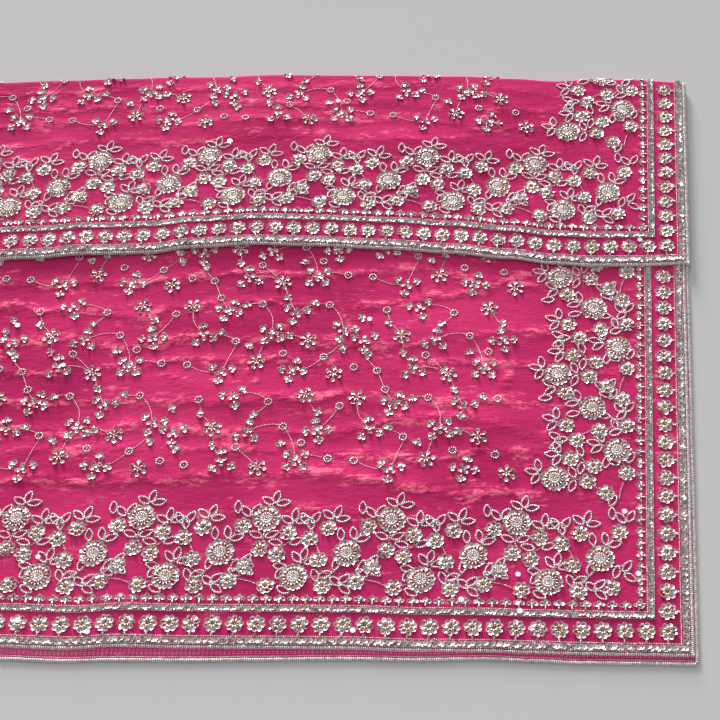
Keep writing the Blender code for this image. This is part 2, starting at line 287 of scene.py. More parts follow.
@dataclass(frozen=True)
class Calm:
    """Where creases ease off, in metres: past the first edge, and before the last."""

    none: float
    full: float
    last: float
    gone: float

    def share(self, value: Array, end: float) -> Array:
        """1 on the open cloth and 0 at its edges, of which the last is at end."""
        return ramp(value, self.none, self.full) * (1 - ramp(value, end - self.last, end - self.gone))


# The flap's swells begin at its hem, so their first edge lies well outside the cloth.
SIDE_CALM = Calm(0.02, 0.10, 0.10, 0.03)
BODY_SWELL_CALM = Calm(0.02, 0.09, 0.07, 0.025)
BODY_CREASE_CALM = Calm(0.010, 0.05, 0.02, -0.01)
FLAP_SWELL_CALM = Calm(-1.0, -0.5, 0.06, 0.015)
FLAP_CREASE_CALM = Calm(0.012, 0.05, 0.012, 0.0)


def crease_sum(creases: tuple[Crease, ...], across: Array, up: Array, painted_sheen: bool = False) -> Array:
    """What soft creases add together at points of the cloth.

    Args:
        creases: the creases.
        across: distances from the pallu edge.
        up: distances from the hem.
        painted_sheen: whether the coral sheen painted along them is added up instead of their height.

    Returns:
        Heights in metres, or gleams.
    """
    total = np.zeros(np.broadcast(across, up).shape)
    for crease in creases:
        angle = math.radians(crease.turn)
        run = across - crease.across
        rise = up - crease.up
        along = (run * math.cos(angle) + rise * math.sin(angle)) / (crease.length / 2)
        aside = (rise * math.cos(angle) - run * math.sin(angle)) / (crease.width / 2)
        bell = np.exp(-2 * (along * along + aside * aside))
        total = total + (crease.painted_sheen if painted_sheen else crease.height * MM) * bell
    return total


def wave_sum(waves: tuple[Wave, ...], across: Array, number: int) -> Array:
    """The waves of the long crease of that number, added up."""
    return sum(wave.size * np.sin(across / MM / wave.length + wave.phase * number) for wave in waves)


def line_sum(lines: tuple[Line, ...], across: Array, up: Array) -> tuple[Array, Array]:
    """What long creases add together at points of the cloth.

    Args:
        lines: the stations of each long crease.
        across: distances from the pallu edge.
        up: distances from the hem.

    Returns:
        Heights in metres, and amounts of coral sheen painted along the crests. Each crest has a shallow
        trough on the side of the hem.
    """
    form = LongCrease()
    height = np.zeros(np.broadcast(across, up).shape)
    painted_sheen = np.zeros_like(height)
    for number, line in enumerate(lines):
        stations, places, tenths = np.array(line, float).T
        middle = np.interp(across, stations * MM, places) + wave_sum(form.wander, across, number)
        strength = np.interp(across, stations * MM, tenths / 10)
        strength = strength * (form.steady + wave_sum(form.flicker, across, number))
        aside = up / MM - middle
        width = form.width + wave_sum(form.swelling, across, number)
        crest = np.exp(-((aside / width) ** 2))
        trough = np.exp(-(((aside + form.trough_drop) / form.trough_width) ** 2))
        height = height + strength * (form.crest * crest - form.trough * trough) * MM
        painted_sheen = painted_sheen + form.painted_sheen * strength * crest
    return height, painted_sheen


def end_fold(across: Array, bend: float, radius: float, opened: Array) -> tuple[Array, Array]:
    """Distance from the pallu edge and drop of cloth that turns under at the end fold.

    Args:
        across: distances along the cloth.
        bend: where the fold begins.
        radius: of the fold's middle line.
        opened: 0 where the fold is a half circle, 1 where it lies open.

    Returns:
        The distances as seen from above, and the drops.
    """
    past = np.maximum(across - bend, 0.0)
    bent = radius / (1 - np.minimum(opened, NEARLY_OPEN))
    arc = np.minimum(past, math.pi * radius)
    run = bend + bent * np.sin(arc / bent) - (past - arc)
    drop = bent * (1 - np.cos(arc / bent))
    lies_open = (past <= 0) | (opened > NEARLY_OPEN)
    return np.where(lies_open, across, run), np.where(lies_open, 0.0, drop)


@dataclass(frozen=True)
class FoldPlan:
    """The sizes of the folded cloth, in metres, and the place of its lower pallu corner."""

    corner: Vector
    length: float = 2.250
    width: float = 0.950
    flap_depth: float = 0.256
    skew: float = 0.089
    flap_run: float = 0.004
    lining_run: float = 0.0015
    wall: float = 0.0012
    front_level: float = 0.0024
    lining_level: float = 0.0039
    flap_level: float = 0.0054
    foot: float = 0.0006
    turn: float = 0.005
    end_radius: float = 0.0009
    flap_end_radius: float = 0.00075
    corner_opens: float = 0.030
    tail_gap: float = 0.001

    @classmethod
    def from_frame(cls) -> "FoldPlan":
        """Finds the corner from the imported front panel.

        Returns:
            The plan with that corner.
        """
        low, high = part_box("front_panel")
        draft = cls(corner=Vector((0.0, 0.0, 0.0)))
        return cls(corner=Vector((high.x - draft.skew * draft.body_top, low.y, 0.0)))

    @property
    def body_depth(self) -> float:
        """Depth of the body from its hem to the top fold."""
        return self.width - self.flap_depth

    @property
    def folded(self) -> float:
        """Length of the cloth once it is folded across."""
        return self.length / 2

    @property
    def flap_hem(self) -> float:
        """Where the flap's hem lies on the body before its curve."""
        return self.body_depth - self.flap_depth

    @property
    def top_bend(self) -> float:
        """Where the top fold begins, measured from the hem."""
        return self.body_depth - self.wall / 2 - (self.flap_level - self.foot) / 2

    @property
    def body_top(self) -> float:
        """Where the cloth of the body meets the tail of the top fold."""
        return self.top_bend - self.turn - self.tail_gap

    @property
    def flap_bend(self) -> float:
        """Where the top fold begins, measured from the flap's hem."""
        return self.top_bend - self.flap_hem

    @property
    def end_bend(self) -> float:
        """Where the front panel's end fold begins."""
        return self.folded - self.wall / 2 - self.end_radius

    @property
    def flap_end_bend(self) -> float:
        """Where the flap's end fold begins."""
        return self.folded - self.wall / 2 - self.flap_end_radius

    def sides(self, across: Array) -> Array:
        """1 on the open cloth, and 0 at the pallu edge and at the end fold."""
        return SIDE_CALM.share(across, self.end_bend)

    def world(self, across: Array, y: Array, z: Array, run: float = 0.0) -> Array:
        """Points in the shared frame from distances on the leaning cloth, moved right by a run."""
        x = run - across + self.skew * y
        return np.stack(np.broadcast_arrays(x + self.corner.x, y + self.corner.y, z), axis=-1)

    def between_edges(self, up: Array, hem: Array, fold: Array) -> Array:
        """Distances towards +Y of cloth whose hem and top fold are moved by those offsets."""
        share = np.clip(up / self.top_bend, 0.0, 1.0)
        return up + hem * (1 - share) + fold * share


@dataclass(frozen=True)
class Stretch:
    """One stretch of the folded cloth, as a surface through the middle of its wall."""

    plan: FoldPlan
    name: str = "stretch"

    def place(self, across: Array, up: Array) -> Array:
        """Points in the shared frame."""
        raise NotImplementedError

    def shows(self, across: Array, up: Array) -> Array:
        """Where needlework on this stretch can be seen."""
        return np.ones(np.broadcast(across, up).shape, bool)

    def painted_sheen(self, across: Array, up: Array) -> Array:
        """How much coral sheen is painted into the cloth's colour here."""
        return np.zeros(np.broadcast(across, up).shape)

    def tangents(self, across: Array, up: Array) -> tuple[Array, Array, Array]:
        """The cloth's own directions at points of the stretch.

        Args:
            across: distances from the pallu edge.
            up: distances from the stretch's own hem.

        Returns:
            Unit directions to the right, up the cloth and out of it.
        """
        right = self.place(across - TANGENT_STEP, up) - self.place(across + TANGENT_STEP, up)
        inward = self.place(across, up + TANGENT_STEP) - self.place(across, up - TANGENT_STEP)
        right /= np.linalg.norm(right, axis=-1, keepdims=True)
        inward /= np.linalg.norm(inward, axis=-1, keepdims=True)
        out = np.cross(right, inward)
        return right, inward, out / np.linalg.norm(out, axis=-1, keepdims=True)


@dataclass(frozen=True)
class FrontStretch(Stretch):
    """The body's visible stretch, turned under at the end fold."""

    name: str = "body"

    def rise(self, across: Array, up: Array) -> Array:
        """Soft rises and creases of the open part of the body.

        Args:
            across: distances from the pallu edge.
            up: distances from the stretch's own hem.

        Returns:
            Heights above the level cloth.
        """
        hem = self.plan.flap_hem
        swells = crease_sum(BODY_SWELLS, across, up) * BODY_SWELL_CALM.share(up, hem)
        fine = crease_sum(BODY_CREASES, across, up) + line_sum(BODY_LINES, across, up)[0]
        return (swells + fine * BODY_CREASE_CALM.share(up, hem)) * self.plan.sides(across)

    def place(self, across: Array, up: Array) -> Array:
        """Where points of the stretch lie.

        Args:
            across: distances from the pallu edge.
            up: distances from the stretch's own hem.

        Returns:
            The points, in the shared frame.
        """
        plan = self.plan
        flat, drop = end_fold(across, plan.end_bend, plan.end_radius, np.zeros(1))
        y = plan.between_edges(up, edge_at("hem", flat), edge_at("fold", flat))
        return plan.world(flat, y, plan.front_level + self.rise(flat, up) - drop)

    def shows(self, across: Array, up: Array) -> Array:
        """Where needlework can be seen: below the flap's hem and short of the end fold.

        Args:
            across: distances from the pallu edge.
            up: distances from the stretch's own hem.

        Returns:
            True where it can.
        """
        plan = self.plan
        y = plan.between_edges(up, edge_at("hem", across), edge_at("fold", across))
        hem = plan.flap_hem + edge_at("flap", across)
        return (y < hem + SHOWN_PAST_HEM) & (across < plan.end_bend)

    def painted_sheen(self, across: Array, up: Array) -> Array:
        """Coral sheen painted into the colour along the creases, where they catch the light."""
        return crease_sum(BODY_CREASES, across, up, painted_sheen=True) + line_sum(BODY_LINES, across, up)[1]


@dataclass(frozen=True)
class UnderStretch(Stretch):
    """The layer underneath, whose hem stands out below the front panel's; up is from its own hem."""

    name: str = "under"
    level: float = 1.05 * MM

    def place(self, across: Array, up: Array) -> Array:
        """Where points of the stretch lie.

        Args:
            across: distances from the pallu edge.
            up: distances from the stretch's own hem.

        Returns:
            The points, in the shared frame.
        """
        hem = edge_at("hem", across) - edge_at("peek", across)
        y = self.plan.between_edges(up, hem, edge_at("fold", across))
        return self.plan.world(across, y, np.full(np.shape(y), self.level))


@dataclass(frozen=True)
class FlapStretch(Stretch):
    """A layer of the flap, bent down over the top fold; up is from the flap's hem.

    Its level is the height of the middle of its wall, its foot the height that it bends down to over
    the top fold, and its run how far it stands out past the front panel's pallu edge.
    """

    name: str = "flap"
    level: float = 0.0
    foot: float = 0.0
    run: float = 0.0

    @property
    def is_outer(self) -> bool:
        """Whether this is the flap's visible layer."""
        return self.level == self.plan.flap_level

    def rise(self, across: Array, up: Array) -> Array:
        """Soft rises and creases of the flap, none at its ends or at the top fold.

        Args:
            across: distances from the pallu edge.
            up: distances from the stretch's own hem.

        Returns:
            Heights above the level cloth.
        """
        bend = self.plan.flap_bend
        swells = crease_sum(FLAP_SWELLS, across, up) * FLAP_SWELL_CALM.share(up, bend)
        if self.is_outer:
            fine = crease_sum(FLAP_CREASES, across, up) + line_sum(FLAP_LINES, across, up)[0]
            swells = swells + fine * FLAP_CREASE_CALM.share(up, bend)
        return swells * self.plan.sides(across)

    def place(self, across: Array, up: Array) -> Array:
        """Where points of the stretch lie.

        Args:
            across: distances from the pallu edge.
            up: distances from the stretch's own hem.

        Returns:
            The points, in the shared frame.
        """
        plan = self.plan
        flat, drop = across, np.zeros(1)
        if self.is_outer:
            opened = ramp(up, plan.flap_bend - plan.corner_opens, plan.flap_bend)
            flat, drop = end_fold(across, plan.flap_end_bend, plan.flap_end_radius, opened)
        share = np.minimum(up / plan.flap_bend, 1.0)
        y = plan.flap_hem + np.minimum(up, plan.flap_bend)
        y = y + edge_at("flap", flat) * (1 - share) + edge_at("fold", flat - self.run) * share
        z = self.level + self.rise(flat, up) - drop
        past = np.maximum(up - plan.flap_bend, 0.0)
        radius = (self.level - drop - self.foot) / 2
        full = (self.level - self.foot) / 2
        angle = np.minimum(past / full, math.pi)
        y = y + radius * np.sin(angle) - np.maximum(past - math.pi * full, 0.0)
        return plan.world(flat, y, z - radius * (1 - np.cos(angle)), self.run)

    def shows(self, across: Array, up: Array) -> Array:
        """Down over the front of the top fold, and short of the end fold."""
        round_fold = (self.level - self.foot) / 2 * SHOWN_ROUND_FOLD
        return (up < self.plan.flap_bend + round_fold) & (across < self.plan.flap_end_bend)

    def painted_sheen(self, across: Array, up: Array) -> Array:
        """Coral sheen painted into the colour along the creases, where they catch the light."""
        long_creases = FLAP_LINE_PAINTED_SHEEN * line_sum(FLAP_LINES, across, up)[1]
        return crease_sum(FLAP_CREASES, across, up, painted_sheen=True) + long_creases


# ---------------------------------------------------------------- finishes


class Map(Enum):
    """What a finish is mapped on."""

    CLOTH = "the cloth's own map in metres"
    OBJECT = "object coordinates"


class Grain(NamedTuple):
    """A noise: its repeats per metre each way, its detail and its roughness."""

    across: float
    up: float
    detail: float = 3.0
    rough: float = 0.55


class Span(NamedTuple):
    """A smooth change of a value from one range to another, held at its ends."""

    start: float
    end: float
    low: float = 0.0
    high: float = 1.0


class NodeBench:
    """A node material while it is being made.

    Its three numbers are the places of the Mix node's colour sockets, whose names are not unique.
    """

    mix_first = 6
    mix_second = 7
    mix_result = 2

    def __init__(self, name: str) -> None:
        """Starts a material with a Principled shader.

        Args:
            name: the finish's name.
        """
        self.material = bpy.data.materials.new(name)
        self.material.use_nodes = True
        self.tree = self.material.node_tree
        self.shader = self.tree.nodes["Principled BSDF"]

    def add(self, kind: str, inputs: dict[str, object] | None = None, **settings: object) -> bpy.types.Node:
        """A new node.

        Args:
            kind: the node's type name after "ShaderNode".
            inputs: socket values, or output sockets to link, by socket name.
            **settings: the node's own properties.

        Returns:
            The node.
        """
        node = self.tree.nodes.new("ShaderNode" + kind)
        for name, value in settings.items():
            setattr(node, name, value)
        for name, value in (inputs or {}).items():
            self.feed(node.inputs[name], value)
        return node

    def feed(self, socket: bpy.types.NodeSocket, value: object) -> None:
        """Links an output to a socket, or sets the socket's value.

        Args:
            socket: the input.
            value: an output socket or a constant.
        """
        if isinstance(value, bpy.types.NodeSocket):
            self.tree.links.new(value, socket)
        else:
            socket.default_value = value

    def set(self, **values: object) -> None:
        """Sets or links sockets of the shader, named with underscores for spaces."""
        for name, value in values.items():
            self.feed(self.shader.inputs[name.replace("_", " ")], value)

    def noise(self, source: Map, grain: Grain) -> bpy.types.NodeSocket:
        """A noise value.

        Args:
            source: what it is mapped on.
            grain: its sizes.

        Returns:
            The value's socket.
        """
        if source is Map.CLOTH:
            coordinates = self.add("UVMap", uv_map="cloth").outputs["UV"]
        else:
            coordinates = self.add("TexCoord").outputs["Object"]
        scale = (grain.across, grain.up, grain.up)
        vector = self.add("Mapping", {"Vector": coordinates, "Scale": scale}).outputs["Vector"]
        values = {"Vector": vector, "Scale": 1.0, "Detail": grain.detail, "Roughness": grain.rough}
        return self.add("TexNoise", values).outputs["Fac"]

    def ranged(self, value: bpy.types.NodeSocket, span: Span) -> bpy.types.NodeSocket:
        """Stretches a value smoothly from one range to another.

        Args:
            value: its socket.
            span: the two ranges.

        Returns:
            The result's socket.
        """
        ends = {"From Min": span.start, "From Max": span.end, "To Min": span.low, "To Max": span.high}
        node = self.add("MapRange", {"Value": value, **ends}, interpolation_type="SMOOTHSTEP")
        return node.outputs["Result"]

    def sum(self, first: object, second: object, kind: str = "ADD") -> bpy.types.NodeSocket:
        """Two values added, or combined in another way.

        Args:
            first: a socket or a constant.
            second: a socket or a constant.
            kind: the way, as Blender names it.

        Returns:
            The result's socket.
        """
        node = self.add("Math", operation=kind)
        self.feed(node.inputs[0], first)
        self.feed(node.inputs[1], second)
        return node.outputs[0]

    def mixed(self, share: bpy.types.NodeSocket, first: object, second: object) -> bpy.types.NodeSocket:
        """Two colours mixed.

        Args:
            share: how much there is of the second.
            first: a colour or its socket.
            second: a colour or its socket.

        Returns:
            The mixed colour's socket.
        """
        node = self.add("Mix", data_type="RGBA")
        self.feed(node.inputs["Factor"], share)
        self.feed(node.inputs[self.mix_first], first)
        self.feed(node.inputs[self.mix_second], second)
        return node.outputs[self.mix_result]

    def bump(
        self, height: bpy.types.NodeSocket, depth: float, strength: float, **under: object
    ) -> bpy.types.NodeSocket:
        """A normal that follows a height, over another normal if one is given."""
        inputs = {"Height": height, "Distance": depth, "Strength": strength, **under}
        return self.add("Bump", inputs).outputs["Normal"]


@dataclass(frozen=True)
class TissueSilk:
    """Magenta shot tissue silk, with coral sheen painted along its creases where they catch the light."""

    name: str = "shot_tissue_silk"
    ground: Colour = (0.650, 0.036, 0.165, 1.0)
    deep: Colour = (0.500, 0.024, 0.125, 1.0)
    warm: Colour = (0.720, 0.045, 0.180, 1.0)
    # The colour of the painted sheen.
    painted_sheen_coral: Colour = (1.0, 0.172, 0.298, 1.0)
    roughness: float = 0.54
    painted_sheen_coral_smoother: float = 0.10
    specular: float = 0.01
    patch: Grain = Grain(6.0, 9.0, 2.0)
    patch_shown: Span = Span(0.36, 0.62)
    drift: Grain = Grain(2.2, 3.1, 1.0)
    drift_shown: Span = Span(0.44, 0.66, 0.0, 0.75)
    mottle: Grain = Grain(110.0, 240.0, 4.0, 0.70)
    mottle_shown: Span = Span(0.38, 0.62, 0.20, 1.40)
    streak: Grain = Grain(16.0, 75.0, 5.0, 0.62)
    streak_shown: Span = Span(0.49, 0.70, 0.0, 0.55)
    blot: Grain = Grain(26.0, 48.0, 3.0, 0.60)
    blot_shown: Span = Span(0.40, 0.62, 0.22, 1.45)
    painted_sheen_coral_shown: Span = Span(0.16, 0.84, 0.0, 0.98)
    slub: Grain = Grain(60.0, 900.0, 3.0, 0.60)
    warp: Grain = Grain(1100.0, 40.0, 2.0)
    threads_shown: Span = Span(0.75, 1.25, 0.0, 0.18)
    thread_depth: float = 0.00012
    thread_strength: float = 0.5
    crumple: Grain = Grain(80.0, 150.0, 5.0, 0.62)
    crumple_everywhere: float = 0.30
    crumple_depth: float = 0.0032
    crumple_strength: float = 0.75

    def make(self) -> bpy.types.Material:
        """Makes the finish, on the cloth's own map.

        Returns:
            The material.
        """
        bench = NodeBench(self.name)
        patch = bench.ranged(bench.noise(Map.CLOTH, self.patch), self.patch_shown)
        drift = bench.ranged(bench.noise(Map.CLOTH, self.drift), self.drift_shown)
        mottle = bench.ranged(bench.noise(Map.CLOTH, self.mottle), self.mottle_shown)
        streak = bench.ranged(bench.noise(Map.CLOTH, self.streak), self.streak_shown)
        blot = bench.ranged(bench.noise(Map.CLOTH, self.blot), self.blot_shown)
        weave = bench.sum(bench.noise(Map.CLOTH, self.slub), bench.noise(Map.CLOTH, self.warp))
        painted_sheen = bench.add("Attribute", attribute_name="painted_sheen").outputs["Fac"]

        base = bench.mixed(drift, bench.mixed(patch, self.deep, self.ground), self.warm)
        # Painted sheen: coral is mixed into the base colour along the creases, broken by blots and mottle,
        # with faint stretched streaks of it everywhere; roughness drops where it is painted.
        painted_sheen_mix = bench.sum(bench.sum(painted_sheen, blot, "MULTIPLY"), streak)
        painted_sheen_mix = bench.ranged(bench.sum(painted_sheen_mix, mottle, "MULTIPLY"), self.painted_sheen_coral_shown)
        colour = bench.mixed(painted_sheen_mix, base, self.painted_sheen_coral)
        colour = bench.mixed(bench.ranged(weave, self.threads_shown), colour, self.deep)

        threads = bench.bump(weave, self.thread_depth, self.thread_strength)
        crumple = bench.noise(Map.CLOTH, self.crumple)
        crumple = bench.sum(bench.sum(painted_sheen, self.crumple_everywhere), crumple, "MULTIPLY")
        folds = bench.bump(crumple, self.crumple_depth, self.crumple_strength, Normal=threads)
        gloss = Span(0.0, 1.0, self.roughness, self.roughness - self.painted_sheen_coral_smoother)
        bench.set(Base_Color=colour, Normal=folds, Roughness=bench.ranged(painted_sheen_mix, gloss))
        bench.set(Specular_IOR_Level=self.specular)
        return bench.material


SILK = TissueSilk()
# The layer underneath shows its paler reverse side, painted lighter still to make up for the front panel's
# shadow on its strip; its coral is painted sheen too.
REVERSE_WITH_PAINTED_LIGHT = TissueSilk(
    name="tissue_silk_reverse_painted_light",
    ground=(1.0, 0.085, 0.330, 1.0),
    deep=(0.80, 0.040, 0.230, 1.0),
    warm=(1.0, 0.12, 0.36, 1.0),
    painted_sheen_coral=(1.0, 0.30, 0.44, 1.0),
)


@dataclass(frozen=True)
class Silvered:
    """A silvered bead, sequin or thread whose tone wanders a little from one to the next."""

    name: str
    pale: Colour
    dull: Colour
    roughness: float
    metallic: float
    dull_rougher: float = 0.12
    grain: Grain = Grain(330.0, 330.0, 1.0)
    tone_shown: Span = Span(0.36, 0.60)

    def make(self) -> bpy.types.Material:
        """Makes the finish, on object coordinates.

        Returns:
            The material.
        """
        bench = NodeBench(self.name)
        tone = bench.ranged(bench.noise(Map.OBJECT, self.grain), self.tone_shown)
        bench.set(Base_Color=bench.mixed(tone, self.dull, self.pale), Metallic=self.metallic)
        gloss = Span(0.0, 1.0, self.roughness + self.dull_rougher, self.roughness)
        bench.set(Roughness=bench.ranged(tone, gloss))
        return bench.material


@dataclass(frozen=True)
class PaleFloor:
    """A plain pale matt floor."""

    name: str = "pale_floor"
    colour: Colour = (0.590, 0.576, 0.580, 1.0)
    shade: float = 0.985
    roughness: float = 0.9
    specular: float = 0.1
    tooth: Grain = Grain(900.0, 900.0, 2.0)

    def make(self) -> bpy.types.Material:
        """Makes the finish, with a faint tooth.

        Returns:
            The material.
        """
        bench = NodeBench(self.name)
        shaded = tuple(value * self.shade for value in self.colour[:3]) + (1.0,)
        tooth = bench.noise(Map.OBJECT, self.tooth)
        bench.set(Base_Color=bench.mixed(tooth, shaded, self.colour))
        bench.set(Roughness=self.roughness, Specular_IOR_Level=self.specular)
        return bench.material


SILVER = Silvered("silver_sequin", (0.96, 0.955, 0.95, 1.0), (0.56, 0.50, 0.44, 1.0), 0.24, 0.55)
SEED = Silvered("silver_seed_bead", (0.97, 0.96, 0.95, 1.0), (0.60, 0.55, 0.54, 1.0), 0.26, 0.50)
BUGLE = Silvered("silver_bugle_bead", (1.0, 0.98, 0.965, 1.0), (0.74, 0.66, 0.63, 1.0), 0.34, 0.18)
BEIGE = Silvered("beige_cut_bead", (0.92, 0.83, 0.69, 1.0), (0.58, 0.45, 0.34, 1.0), 0.34, 0.50)
# Painted glint: near-white and barely metallic, so these sequins show white whatever they reflect.
MIRROR = Silvered("painted_glint_sequin", (1.0, 1.0, 1.0, 1.0), (0.96, 0.97, 1.0, 1.0), 0.14, 0.15)
# Dark bed under the sequin bands: partly their thread, partly painted shade for the gaps between sequins.
THREAD_AND_SHADE_BED = Silvered("grey_thread_and_shade_bed", (0.46, 0.37, 0.38, 1.0), (0.22, 0.14, 0.15, 1.0), 0.60, 0.10)
THREAD = Silvered("silver_thread", (0.88, 0.82, 0.78, 1.0), (0.70, 0.60, 0.58, 1.0), 0.45, 0.30)
CENTRE = Silvered("rose_centre_bead", (0.66, 0.16, 0.20, 1.0), (0.34, 0.03, 0.09, 1.0), 0.30, 0.35)


# ---------------------------------------------------------------- small things worked on the cloth


class Craft(Enum):
    """Every kind of small thing that is sewn on, named as its pieces are."""

    SEQUIN = "sequins"
    BEAD = "seed_beads"
    BUGLE = "bugle_beads"
    CUT = "cut_beads"
    STITCH = "thread_stitches"
    CORE = "centre_beads"
    MIRROR = "painted_glint_sequins"
    THREAD_AND_SHADE_BED = "thread_and_shade_beds"


class CraftLook(NamedTuple):
    """A craft's finish, how far its things lean at random in degrees, and whether they are rounded."""

    finish: Silvered
    lean: float
    rounded: bool = True


CRAFT_LOOKS = {
    Craft.SEQUIN: CraftLook(SILVER, 13.0, rounded=False),
    Craft.BEAD: CraftLook(SEED, 5.0),
    Craft.BUGLE: CraftLook(BUGLE, 3.0),
    Craft.CUT: CraftLook(BEIGE, 4.0),
    Craft.STITCH: CraftLook(THREAD, 2.0),
    Craft.CORE: CraftLook(CENTRE, 3.0),
    Craft.MIRROR: CraftLook(MIRROR, 0.5, rounded=False),
    Craft.THREAD_AND_SHADE_BED: CraftLook(THREAD_AND_SHADE_BED, 0.0, rounded=False),
}


class Thing(NamedTuple):
    """A small thing as it is sewn on, in millimetres and degrees.

    It has a length, a width and a height. Its middle is lifted over the cloth, and its far end tips up.
    """

    craft: Craft
    size: Size
    lift: float
    tip: float = 0.0


PETAL = Thing(Craft.SEQUIN, (5.3, 5.3, 0.9), 0.45, 7.0)
RAY = Thing(Craft.CUT, (2.9, 1.9, 1.3), 0.8, 12.0)
LARGE_PETAL = Thing(Craft.SEQUIN, (5.0, 5.0, 0.9), 0.45, 7.0)
LARGE_RAY = Thing(Craft.CUT, (3.4, 1.7, 1.3), 0.8, 12.0)
ROSE_CENTRE = Thing(Craft.CORE, (2.6, 2.6, 1.4), 0.5)
CENTRE_SEED = Thing(Craft.BEAD, (1.4, 1.4, 1.2), 1.2)
HEART_OUTER = Thing(Craft.BUGLE, (2.6, 1.4, 1.2), 0.9, -8.0)
HEART_INNER = Thing(Craft.BUGLE, (2.4, 1.4, 1.2), 0.9, -8.0)
HEART_SEED = Thing(Craft.BEAD, (2.2, 2.2, 1.8), 1.4)
LEAF_SEED = Thing(Craft.BEAD, (2.5, 2.8, 1.4), 0.55)
FOOT_SEED = Thing(Craft.BEAD, (2.5, 2.8, 1.4), 0.5)
STEM_SEED = Thing(Craft.BEAD, (2.1, 1.45, 1.2), 0.5)
STEM_STITCH = Thing(Craft.STITCH, (3.6, 0.85, 0.6), 0.25)
FAN_CUP = Thing(Craft.SEQUIN, (4.7, 4.7, 0.9), 0.5, 8.0)
FAN_STEM = Thing(Craft.CUT, (2.6, 1.7, 1.3), 0.6)
BUD_CUP = Thing(Craft.SEQUIN, (4.7, 4.7, 0.9), 0.5, 9.0)
BUD_BEAD = Thing(Craft.CUT, (3.4, 1.5, 1.2), 0.7)
TOP_CUP = Thing(Craft.SEQUIN, (4.7, 4.7, 0.9), 0.9)
STAR_RAY = Thing(Craft.CUT, (3.8, 1.5, 1.3), 0.7)
STAR_SEED = Thing(Craft.BEAD, (2.2, 2.2, 1.7), 0.9)
RING_SEED = Thing(Craft.BEAD, (1.9, 1.9, 1.4), 0.6)
LINE_SEED = Thing(Craft.BEAD, (2.2, 1.6, 1.4), 0.6)
WIDE_SEQUIN = Thing(Craft.SEQUIN, (5.8, 5.8, 0.9), 0.6, 12.0)
WIDE_THREAD_AND_SHADE_BED = Thing(Craft.THREAD_AND_SHADE_BED, (6.6, 5.2, 0.5), 0.3)
NARROW_SEQUIN = Thing(Craft.SEQUIN, (4.9, 4.9, 0.9), 0.6, 12.0)
NARROW_THREAD_AND_SHADE_BED = Thing(Craft.THREAD_AND_SHADE_BED, (6.6, 4.3, 0.5), 0.3)
# A flat disc painted white as a glint.
PAINTED_GLINT_DISC = Thing(Craft.MIRROR, (5.4, 5.4, 0.6), 1.3)
EDGING_BUGLE = Thing(Craft.BUGLE, (3.1, 1.55, 1.55), -0.25)
UNDER_BUGLE = Thing(Craft.BUGLE, (3.1, 1.55, 1.55), -0.1)
STRIP_SEED = Thing(Craft.BEAD, (2.1, 1.5, 1.2), 0.3)
STRIP_STITCH = Thing(Craft.STITCH, (3.6, 0.7, 0.4), 0.3)


def round_turns(count: int, first: float = 0.0) -> Array:
    """Degrees of things that stand evenly round a spot."""
    return np.arange(count) * 360.0 / count + first


@dataclass(frozen=True)
class Spot:
    """A place on a stretch from which a motif is measured; metres and degrees."""

    across: float
    up: float
    turn: float = 0.0

    def at(self, right: Values, inward: Values) -> tuple[Array, Array]:
        """Cloth distances of points near the spot.

        Args:
            right: millimetres to the right of the spot.
            inward: millimetres inward of the spot.

        Returns:
            The distances from the pallu edge and from the hem, in metres.
        """
        angle = math.radians(self.turn)
        right = np.asarray(right, float) * MM
        inward = np.asarray(inward, float) * MM
        across = self.across - (right * math.cos(angle) - inward * math.sin(angle))
        return across, self.up + right * math.sin(angle) + inward * math.cos(angle)

    def moved(self, right: float, inward: float, turn: float = 0.0) -> "Spot":
        """Another spot, that many millimetres and degrees from this one."""
        across, up = self.at(right, inward)
        return Spot(float(across), float(up), self.turn + turn)


